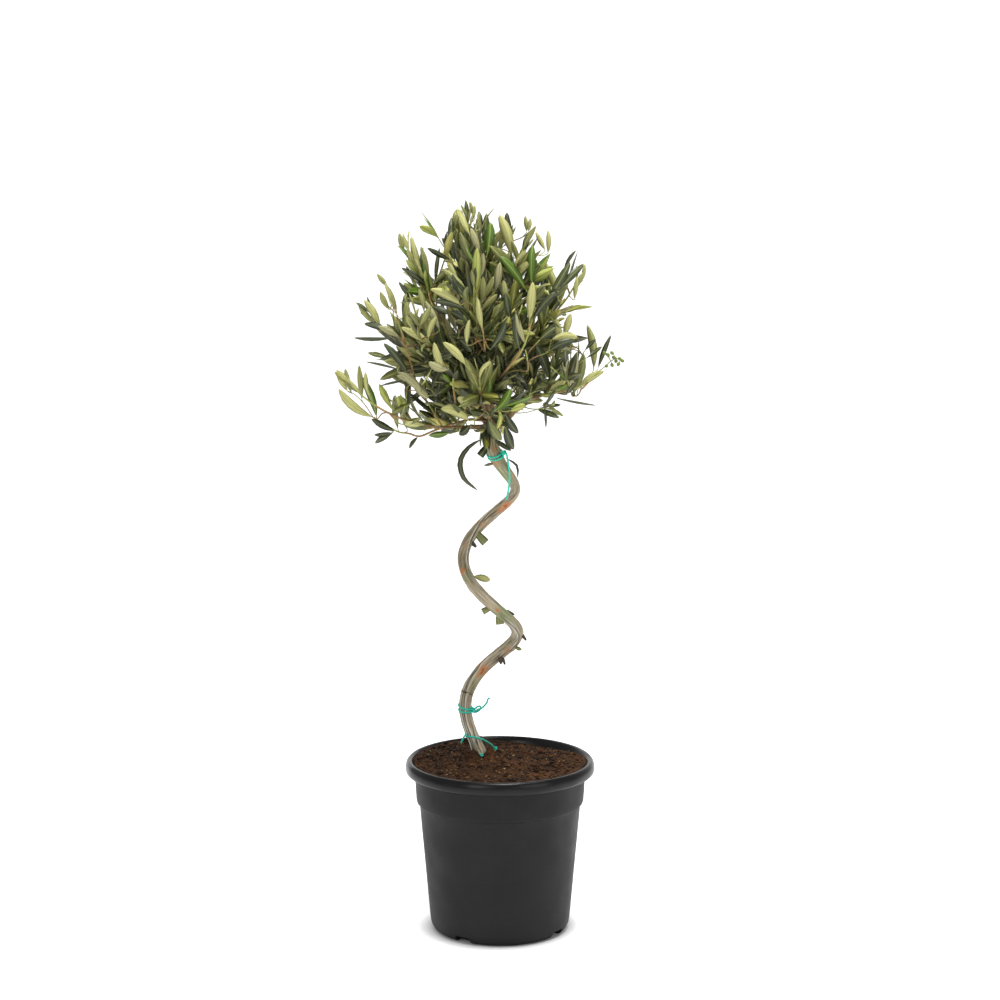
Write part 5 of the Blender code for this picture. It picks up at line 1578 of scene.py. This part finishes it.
def grow_mass(name, growth):
    """Grows one mass: the source's stem, twigs and leaves, then finer twigs and the leaves between."""
    bough, _, tips, seed = FOLIAGE[name]
    chance = random.Random(seed)
    finer = random.Random(FINE_SEED + seed)
    limb, limb_radii, _ = bough_line(bough)
    heading = (limb[-1] - limb[-2]).normalized()
    stem = reaching_line(limb[-1] + heading * GAP, heading, Vector(tips[0]), STEM_STEPS)
    lines = [(stem, STEM_LEAVES_FROM, leaf_places(stem, chance, STEM_LEAVES_FROM))]
    growth.shoots.append(([limb[-1] - heading * 0.002] + stem, limb_radii[-1] * 0.96, STEM_TIP_RADIUS, 0.0))
    for tries in side_twigs(stem, name, chance):
        for line in tries:
            hull = thin_hull(line, TWIG_WIDTH)
            if in_space(hull[0], name) and clear_of_limbs(hull, growth.limbs):
                lines.append((line, TWIG_LEAVES_FROM, leaf_places(line, chance, TWIG_LEAVES_FROM)))
                growth.shoots.append((line, TWIG_ROOT_RADIUS, TWIG_END_RADIUS, 0.4))
                break
    tones = [spray_tone(line, finer) for line, _, _ in lines]
    for (_, _, spots), tone in zip(lines, tones):
        for spot in spots:
            growth.add_leaf(spot, name, tone, True)
    for (line, first, _), tone in zip(lines, tones):
        grow_side_shoots(line, first, name, growth, finer)
        for spot in leaf_places(line, finer, max(first - 0.08, 0.04), LEAF_SPACING / EXTRA_PAIRS):
            if finer.random() < leafiness(spot[0]):
                growth.add_leaf(spot, name, tone, False)


def grow_side_shoots(line, first, name, growth, finer):
    """Short side shoots along a twig, each with leaves of its own."""
    count = int(line_length(line) * (SIDE_TWIGS_TO - first) / SIDE_TWIG_SPACING)
    spin = finer.uniform(0.0, math.tau)
    for number in range(count):
        share = first + (SIDE_TWIGS_TO - first) * (number + 0.5) / count
        place, way = place_on(line, share)
        side = Quaternion(way, spin) @ way.orthogonal().normalized()
        heading = (way * SIDE_TWIG_LEAN + side).normalized()
        reach = SIDE_TWIG_LENGTH * finer.uniform(0.7, 1.15) * (1.0 - SIDE_TWIG_TAPER * share)
        shoot = twig_line(place, heading, reach)
        spin += SIDE_TWIG_TURN
        hull = thin_hull(shoot, SIDE_TWIG_RADIUS)
        inside = in_space(hull[0], name) and crown_share(shoot[-1]) <= SIDE_TWIG_EDGE
        if inside and clear_of_limbs(hull, growth.limbs) and finer.random() < leafiness(place):
            grow_short_shoot(shoot, name, growth, finer)


def grow_short_shoot(shoot, name, growth, finer):
    """One short shoot with its leaves, kept only if a leaf grew on it."""
    tone = spray_tone(shoot, finer)
    grown = 0
    for spot in leaf_places(shoot, finer, SHORT_LEAVES_FROM, LEAF_SPACING * SHORT_LEAVES_CLOSER):
        grown += growth.add_leaf(spot[:4] + (spot[4] * SHORT_LEAVES_SMALLER,), name, tone, False)
    if grown:
        growth.shoots.append((shoot, SIDE_TWIG_RADIUS, TWIG_END_RADIUS * 0.8, 0.8))


def grow_inner_shoots(growth):
    """Short leafy shoots straight from the boughs, between the masses."""
    finer = random.Random(FINE_SEED)
    for name in BOUGHS:
        line, _, _ = bough_line(name)
        for share in INNER_PLACES:
            place, way = place_on(line, share)
            for spin in (finer.uniform(0.0, math.tau), finer.uniform(0.0, math.tau)):
                side = Quaternion(way, spin) @ way.orthogonal().normalized()
                heading = (way * INNER_LEAN + side).normalized()
                shoot = twig_line(place, heading, INNER_LENGTH * finer.uniform(0.7, 1.2))
                if min(point.z for point in shoot) > INNER_LOWEST:
                    grow_short_shoot(shoot, None, growth, finer)


def camera_side(place):
    """The direction from a place towards the camera."""
    return (Vector(CAMERA_PLACE) - place).normalized()


def add_named_leaves(growth, sizes):
    """Adds the leaves that have their places given, and returns where they hang: (root, heading)."""
    chance = random.Random(FINE_SEED)
    roots = []
    for x0, y0, z0, x1, y1, z1, width, bow, look in NAMED_LEAVES:
        root, tip = metres(((x0, y0, z0), (x1, y1, z1)))
        front = camera_side(root)
        left = front.cross((tip - root).normalized()).normalized()
        arch = NAMED_ARCH * (tip - root).length
        line = []
        for share in (0.0, 0.25, 0.5, 0.75, 1.0):
            swell = 4.0 * share * (1.0 - share)
            line.append(root.lerp(tip, share) + left * (bow * 0.001 * swell) + front * (arch * swell))
        normal = (front + left * chance.uniform(-0.45, 0.45)).normalized()
        tone, face = look.split()
        if face == "under":
            normal.negate()
        fold = chance.uniform(0.05, 0.22)
        rings = drawn_blade(line, normal, width * 0.001, LEAF_OUTLINE, fold, sizes.leaf_thickness)
        growth.add_drawn(rings, tone)
        roots.append((root, (line[1] - line[0]).normalized()))
    return roots


def trim_shoots(growth):
    """Cuts each shoot off just past the last leaf or shoot that it bears, and drops the bare ones."""
    roots = [leaf[0] for leaf in growth.leaves] + [shoot[0][0] for shoot in growth.shoots]
    tree = KDTree(len(roots))
    for number, root in enumerate(roots):
        tree.insert(root, number)
    tree.balance()
    kept = []
    for line, *wood in growth.shoots:
        dense, _ = refined(line, [0.0] * len(line), 0.002)
        borne = [step for step in range(2, len(dense)) if tree.find(dense[step])[2] < BORNE_NEAR]
        if borne:
            kept.append((dense[: borne[-1] + 2], *wood))
    growth.shoots = kept


def wood_spots(growth):
    """Places along every bough and shoot, each with the heading there."""
    spots = []
    for line in [bough_line(name)[0] for name in BOUGHS] + [shoot[0] for shoot in growth.shoots]:
        steps = max(2, round(line_length(line) / WOOD_STEP))
        spots.extend(place_on(line, step / steps) for step in range(steps))
    return spots


def joining_line(spots, root, way):
    """A line to a root from the nearest wood behind it, or None if the root lies on that."""

    def distance(spot):
        """How far a spot is from the root, counting more for one that lies ahead of it."""
        return (spot[0] - root).length + 0.5 * max((spot[0] - root).dot(way), 0.0)

    start, heading = min(spots, key=distance)
    if (start - root).length < JOINED_NEAR:
        return None
    across = (root - start).normalized()
    return bent(start, heading + across * 1.6, root, way + across * 1.2, 4)


def add_named_twigs(growth):
    """Adds the twigs that have their places given, each grown out of the nearest wood."""
    spots = wood_spots(growth)
    for points, low, high in NAMED_TWIGS:
        line = metres(points)
        joined = joining_line(spots, line[0], (line[1] - line[0]).normalized()) or [line[0]]
        growth.shoots.append((joined[:-1] + line, low * 0.001, high * 0.001, 0.0))


def join_named_leaves(growth, roots):
    """Grows a thin twig from the nearest wood to the root of each leaf that has its place given."""
    spots = wood_spots(growth)
    for root, way in roots:
        line = joining_line(spots, root, way)
        if line:
            growth.shoots.append((line, SIDE_TWIG_RADIUS * 0.9, TWIG_END_RADIUS * 0.8, 0.2))


def leaf_ring(middle, way, normal, half, width, fold, thick):
    """Six points across a leaf: its two edges, and the two sides of its rib above and below."""
    across = way.cross(normal).normalized()
    normal = across.cross(way).normalized()
    rib = min(RIB_SHARE * width, half * 0.6)
    rim = middle + normal * (half * fold)
    return (
        rim - across * half,
        middle - across * rib + normal * thick,
        middle + across * rib + normal * thick,
        rim + across * half,
        middle + across * rib - normal * thick,
        middle - across * rib - normal * thick,
    )


def grown_blade(root, out, upper, length, width, droop, twist, fold, thickness):
    """The rings of a leaf that grows out of a root and droops, twists and folds on its way."""
    rings = []
    for along, half in LEAF_OUTLINE:
        past = max(along - 0.15, 0.0)
        way = (out - upper * (droop * past)).normalized()
        turn = Quaternion(way, twist * along)
        middle = root + out * (length * along) - upper * (droop * length * past * past * 0.5)
        thick = thickness * (0.5 if along < 1.0 else 0.2)
        rings.append(leaf_ring(middle, way, turn @ upper, half * width, width, fold, thick))
    return rings


def drawn_blade(line, normal, width, outline, fold, thickness):
    """The rings of a leaf along a line of points, its upper side facing along the normal."""
    dense, _ = refined(line, [0.0] * len(line), line_length(line) / 30.0)
    places = [along for along, _ in outline]
    if len(line) > 5:
        places = sorted(places + [(before + after) / 2.0 for before, after in zip(places, places[1:])])
    rings = []
    for along in places:
        half = read_table(outline, along)
        middle, way = place_on(dense, min(along, 0.999))
        thick = thickness * (0.5 if half > 0.02 else 0.2)
        rings.append(leaf_ring(middle, way, normal, half * width, width, fold, thick))
    return rings


def blade_mesh(rings, tone):
    """One leaf from its rings, with the slots of its tone: (points, faces, slots).

    Both sides are split along the same lines, so that a twisted leaf doesn't cross itself.
    """
    points = [point for ring in rings for point in ring]
    faces, slots = [], []
    base = TONES.index(tone) * 3
    last = len(points) - 6
    for low in range(0, last, 6):
        for corner, slot, split in BLADE_BANDS:
            after = (corner + 1) % 6
            around = (low + corner, low + after, low + after + 6, low + corner + 6)
            for triangle in ((0, 1, 2), (0, 2, 3)) if split else ((0, 1, 3), (1, 2, 3)):
                faces.append(tuple(around[place] for place in triangle))
                slots.append(base + slot)
    faces.extend([tuple(reversed(range(6))), tuple(range(last, last + 6))])
    return points, faces, slots + [base + 2] * 2


def leaf_materials():
    """An olive leaf's skin in slot order: waxed leather above, and a felt of scales without gloss below.

    Veins and scales are finer than the render shows, so both are drawn at about 1 mm.
    """
    made = []
    for tone in TONES:
        upper, under, rib = LEAF_COLOURS[tone]
        made.append(plain_matter(f"leaf_{tone}_upper", upper, 0.38, 0.5, 1100.0, 0.2))
        made.append(plain_matter(f"leaf_{tone}_under", under, 0.75, 0.25, 1100.0, 0.35))
        made.append(plain_matter(f"leaf_{tone}_rib", rib, 0.6, 0.5, 1100.0, 0.2))
    return made


class OLIVE_OT_crown(bpy.types.Operator):
    """Grows the twigs and leaves of every mass, and the buds at the end of the right-hand shoot"""

    bl_idname = "olive.crown"
    bl_label = "Crown"

    def execute(self, context):
        growth = Growth()
        sizes = context.scene.olive_sizes
        roots = add_named_leaves(growth, sizes)
        for name in FOLIAGE:
            grow_mass(name, growth)
        grow_inner_shoots(growth)
        trim_shoots(growth)
        add_named_twigs(growth)
        join_named_leaves(growth, roots)
        make_twigs(growth)
        make_leaves(growth, sizes)
        make_buds()
        return {"FINISHED"}


def make_twigs(growth):
    """Joins every shoot in one piece: tan wood at its foot and green towards its tip."""
    twigs = Joined()
    for line, low, high, young in growth.shoots:
        steps = len(line) - 1
        radii = [low + (high - low) * step / steps for step in range(steps + 1)]
        dense, girth = refined(line, radii, 0.0028)
        slots = []
        rings = len(dense) - 1
        for ring in range(rings):
            share = young + (1.0 - young) * ring / rings
            slots.extend([0 if share < 0.35 else 1 if share < 0.72 else 2] * SHOOT_SIDES)
        slots.extend([0] * SHOOT_SIDES + [2] * SHOOT_SIDES)
        twigs.add(*limb_mesh(dense, girth, SHOOT_SIDES), slots)
    barks = [
        young_bark("brown_twig_bark", "#7d6242", "#5a4630", "#94805e"),
        young_bark("tan_twig_bark", "#a3814f", "#86683c", "#b39a6b"),
        young_bark("green_twig_bark", "#9aa052", "#7d8440", "#b0b36c"),
    ]
    twigs.finish("twigs", barks, FOLIAGE_NODES, "foliage")


def make_leaves(growth, sizes):
    """Joins the leaves in a few pieces; each grown one has a droop, a twist and a fold of its own."""
    chance = random.Random(FINE_SEED)
    blades = list(growth.drawn)
    for root, out, upper, length, width, tone in growth.leaves:
        droop = chance.uniform(-0.25, 0.55)
        twist = chance.uniform(-0.7, 0.7) if chance.random() < 0.6 else chance.choice((-1, 1)) * 1.5
        fold = chance.uniform(0.02, 0.32)
        wide = width * chance.uniform(0.85, 1.2)
        if chance.random() < 0.22:
            tone = TONES[(TONES.index(tone) + chance.choice((-1, 1))) % len(TONES)]
        rings = grown_blade(root, out, upper, length, wide, droop, twist, fold, sizes.leaf_thickness)
        blades.append((rings, tone))
    materials = leaf_materials()
    for first in range(0, len(blades), LEAVES_IN_A_PIECE):
        leaves = Joined()
        for rings, tone in blades[first : first + LEAVES_IN_A_PIECE]:
            points, faces, slots = blade_mesh(rings, tone)
            leaves.add(points, faces, slots=slots)
        leaves.finish(f"leaves_{first // LEAVES_IN_A_PIECE + 1}", materials, FOLIAGE_NODES, "foliage")


def make_buds():
    """Joins the flower buds and their stalk in one piece."""
    stalk = metres(BUD_STALK)
    buds = Joined()
    buds.add(*limb_mesh(*refined(stalk, [STALK_RADIUS] * len(stalk), 0.002), 6)[:2])
    for middle in metres(BUDS):
        root = min(stalk, key=lambda point: (point - middle).length)
        way = (middle - root).normalized()
        line = [middle + way * (BUD_LENGTH * (step / 4.0 - 0.5)) for step in range(5)]
        buds.add(*limb_mesh(line, BUD_RADII, 8)[:2], slots=1)
        buds.add(*limb_mesh([root, line[0]], [0.0004, 0.0004], 5)[:2])
    skins = [plain_matter("bud_stalk", "#8b9354", 0.6), plain_matter("bud_skin", "#6f7c40", 0.5)]
    buds.finish("flower_buds", skins, [], "foliage")


# Leaves, stubs and ties on the stem


class OLIVE_OT_sprigs(bpy.types.Operator):
    """Adds the leaves, the cut leaves and the dry stubs that stand on the stem"""

    bl_idname = "olive.sprigs"
    bl_label = "Leaves on the stem"

    def execute(self, context):
        thickness = context.scene.olive_sizes.leaf_thickness
        leaves, stubs = Joined(), Joined()
        for line, width, outline, look in STEM_LEAVES:
            line = metres(line)
            tone, face = look.split()
            normal = camera_side(line[0])
            if face == "under":
                normal.negate()
            rings = drawn_blade(line, normal, width * 0.001, outline, 0.14, thickness)
            points, faces, slots = blade_mesh(rings, tone)
            leaves.add(points, faces, slots=slots)
        leaves.finish("stem_leaves", leaf_materials(), [], "foliage")
        for root, tip, radius in STEM_STUBS:
            root, tip = metres((root, tip))
            radii = [radius * share for share in (0.001, 0.00085, 0.00045)]
            dense, girth = refined([root, root.lerp(tip, 0.6), tip], radii, 0.0008)
            stubs.add(*limb_mesh(dense, girth, 10, bough_relief))
        bark = young_bark("dry_stub_bark", "#463a30", "#2a231d", "#5f5040")
        stubs.finish("stem_stubs", [bark], [], "young_bark")
        return {"FINISHED"}


def twine_plastic(name, colour):
    """Polyethylene twine, drawn and laid in two strands: a satin skin with fine lines along the strands."""
    made, tree, shader = new_surface(name, 0.42, ior=1.51)
    place = add_node(tree, "Attribute", attribute_name="bark_place").outputs["Vector"]
    lines = add_node(tree, "Mapping", {"Vector": place, "Scale": (1.0, 1.0, 0.1)}).outputs["Vector"]
    fibre = add_node(tree, "TexNoise", {"Vector": lines, "Scale": 2600.0, "Detail": 2.0})
    fibre = fibre.outputs["Fac"]
    worn = {"Factor": fibre, 6: opaque([share * 0.8 for share in colour]), 7: opaque(colour)}
    worn = add_node(tree, "Mix", worn, data_type="RGBA").outputs[2]
    bump = add_node(tree, "Bump", {"Height": fibre, "Strength": 0.3, "Distance": 0.0002})
    fill(tree, shader, {"Base Color": worn, "Normal": bump.outputs["Normal"]})
    return made


def round_stem(height, first, last, fall_right, fall_back, stand):
    """Points on the stem round a height, in a plane that falls to the right and to the back."""
    middle = trunk_point(height)
    way = (trunk_point(height + 0.001) - trunk_point(height - 0.001)).normalized()
    plane = Vector((fall_right, fall_back, 1.0)).normalized()
    points = []
    steps = max(6, round(abs(last - first) / 0.2))
    for step in range(steps + 1):
        angle = first + (last - first) * step / steps
        level = Vector((math.sin(angle), -math.cos(angle), 0.0))
        out = (level - plane * level.dot(plane)).normalized()
        across = (out - way * out.dot(way)).length
        points.append(middle + out * ((trunk_radius(height) + stand) / across))
    return points


def twine_relief(along, angle, radius):
    """Two strands laid round each other."""
    return radius * 0.16 * math.cos(2.0 * (angle - along * math.tau / TWINE_LAY))


def knot_line(middle):
    """A line that winds through itself in a small tight knot round a middle."""
    line = []
    for step in range(31):
        t = math.tau * step / 30.0
        x = math.sin(t) + 2.0 * math.sin(2.0 * t)
        z = math.cos(t) - 2.0 * math.cos(2.0 * t)
        line.append(middle + Vector((x, -math.sin(3.0 * t), z)) * KNOT_SIZE)
    return line


class OLIVE_OT_ties(bpy.types.Operator):
    """Adds the twine ties with their knots and tails"""

    bl_idname = "olive.ties"
    bl_label = "Ties"

    def execute(self, context):
        radius = context.scene.olive_sizes.twine_width / 2.0
        twine = context.scene.olive_colours.twine
        lines = [(round_stem(*ring[:-1], radius * 0.6), ring[-1]) for ring in TIE_RINGS]
        lines += [(metres(line), age) for line, age in TIE_LINES]
        lines += [(knot_line(*metres((knot[:3],))), knot[3]) for knot in TIE_KNOTS]
        ties = Joined()
        for line, age in lines:
            dense, girth = refined(line, [radius] * len(line), 0.0007)
            ties.add(*limb_mesh(dense, girth, 12, twine_relief), TWINE_AGES.index(age))
        twines = [twine_plastic("new_twine", twine)]
        twines.append(twine_plastic("aged_twine", [share * TWINE_FADING for share in twine]))
        ties.finish("twine_ties", twines, [], "foliage")
        return {"FINISHED"}


# Stage


def white_board_with_painted_glow():
    """Matt white board with a painted glow: it gives off light of its own from a little way off the pot, so
    that it burns out to white there and its shadows fade.
    """
    made, tree, shader = new_surface("white_board_with_painted_glow", 0.9)
    where = add_node(tree, "TexCoord").outputs["Object"]
    away = add_node(tree, "VectorMath", {0: where}, operation="LENGTH").outputs["Value"]
    # Painted glow: emission that rises with the distance from the pot and washes out the board's shadows
    glow = {"Value": away, "From Min": GLOW_FROM, "From Max": GLOW_TO, "To Max": FAR_GLOW}
    glow = add_node(tree, "MapRange", glow).outputs["Result"]
    tones = {"Base Color": (0.8, 0.8, 0.8, 1.0), "Emission Color": (1.0, 1.0, 1.0, 1.0)}
    fill(tree, shader, {**tones, "Emission Strength": glow})
    return made


class OLIVE_OT_stage(bpy.types.Operator):
    """Sets the pale floor, the soft lights and the camera of the photograph"""

    bl_idname = "olive.stage"
    bl_label = "Stage"

    def execute(self, context):
        bpy.ops.object.select_all(action="DESELECT")
        bpy.ops.mesh.primitive_plane_add(size=FLOOR_SIZE, location=(0.0, 0.0, -FLOOR_DROP))
        floor = context.active_object
        floor.name = "floor"
        # The board curves up behind the plant
        pick_corners(floor, lambda place: place.y > 0.0)
        turn = math.radians(90.0 / SWEEP_STEPS)
        for step in range(SWEEP_STEPS):
            low, high = turn * step, turn * (step + 1)
            move = Vector((0.0, math.sin(high) - math.sin(low), math.cos(low) - math.cos(high)))
            bpy.ops.mesh.extrude_region_move(TRANSFORM_OT_translate={"value": move * SWEEP_RADIUS})
        bpy.ops.mesh.extrude_region_move(TRANSFORM_OT_translate={"value": (0.0, 0.0, WALL_HEIGHT)})
        bpy.ops.object.mode_set(mode="OBJECT")
        bpy.ops.object.shade_smooth()
        floor.data.materials.append(white_board_with_painted_glow())
        world = bpy.data.worlds.new("soft_white_room")
        context.scene.world = world
        world.use_nodes = True
        background = world.node_tree.nodes["Background"]
        fill(world.node_tree, background, {"Color": (1.0, 1.0, 1.0, 1.0), "Strength": WORLD_STRENGTH})
        for name, place, target, size, power in LIGHTS:
            bpy.ops.object.light_add(type="AREA", location=place)
            light = context.active_object
            light.name = name
            light.data.shape = "SQUARE"
            light.data.size = size
            light.data.energy = power
            aim = Vector(target) - Vector(place)
            light.rotation_euler = aim.to_track_quat("-Z", "Y").to_euler()
        bpy.ops.object.camera_add(location=CAMERA_PLACE, rotation=(CAMERA_TILT, 0.0, 0.0))
        camera = context.active_object
        camera.data.sensor_width = 36.0
        camera.data.lens = CAMERA_LENS
        context.scene.camera = camera
        context.scene.view_settings.view_transform = "Standard"
        context.scene.view_settings.look = "None"
        return {"FINISHED"}


class OLIVE_PT_panel(bpy.types.Panel):
    """Lists the pieces of the plant"""

    bl_label = "Potted olive tree"
    bl_idname = "OLIVE_PT_panel"
    bl_space_type = "VIEW_3D"
    bl_region_type = "UI"
    bl_category = "Olive"

    def draw(self, context):
        layout = self.layout
        for operator in OPERATORS:
            layout.operator(operator.bl_idname)
        for group in (context.scene.olive_sizes, context.scene.olive_colours):
            for name in group.bl_rna.properties.keys():
                if name not in ("rna_type", "name"):
                    layout.prop(group, name)


OPERATORS = (
    OLIVE_OT_stage,
    OLIVE_OT_pot,
    OLIVE_OT_compost,
    OLIVE_OT_stem,
    OLIVE_OT_boughs,
    OLIVE_OT_crown,
    OLIVE_OT_sprigs,
    OLIVE_OT_ties,
)
CLASSES = (OliveSizes, OliveColours, *OPERATORS, OLIVE_PT_panel)


def register():
    """Registers the classes and hangs the settings on the scene."""
    for one in CLASSES:
        bpy.utils.register_class(one)
    bpy.types.Scene.olive_sizes = bpy.props.PointerProperty(type=OliveSizes)
    bpy.types.Scene.olive_colours = bpy.props.PointerProperty(type=OliveColours)


def unregister():
    """Removes the settings and the classes."""
    del bpy.types.Scene.olive_colours
    del bpy.types.Scene.olive_sizes
    for one in reversed(CLASSES):
        bpy.utils.unregister_class(one)


def main():
    register()
    bpy.ops.olive.stage()
    bpy.ops.olive.pot()
    bpy.ops.olive.compost()
    bpy.ops.olive.stem()
    bpy.ops.olive.boughs()
    bpy.ops.olive.crown()
    bpy.ops.olive.sprigs()
    bpy.ops.olive.ties()
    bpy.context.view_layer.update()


if __name__ == "__main__":
    main()
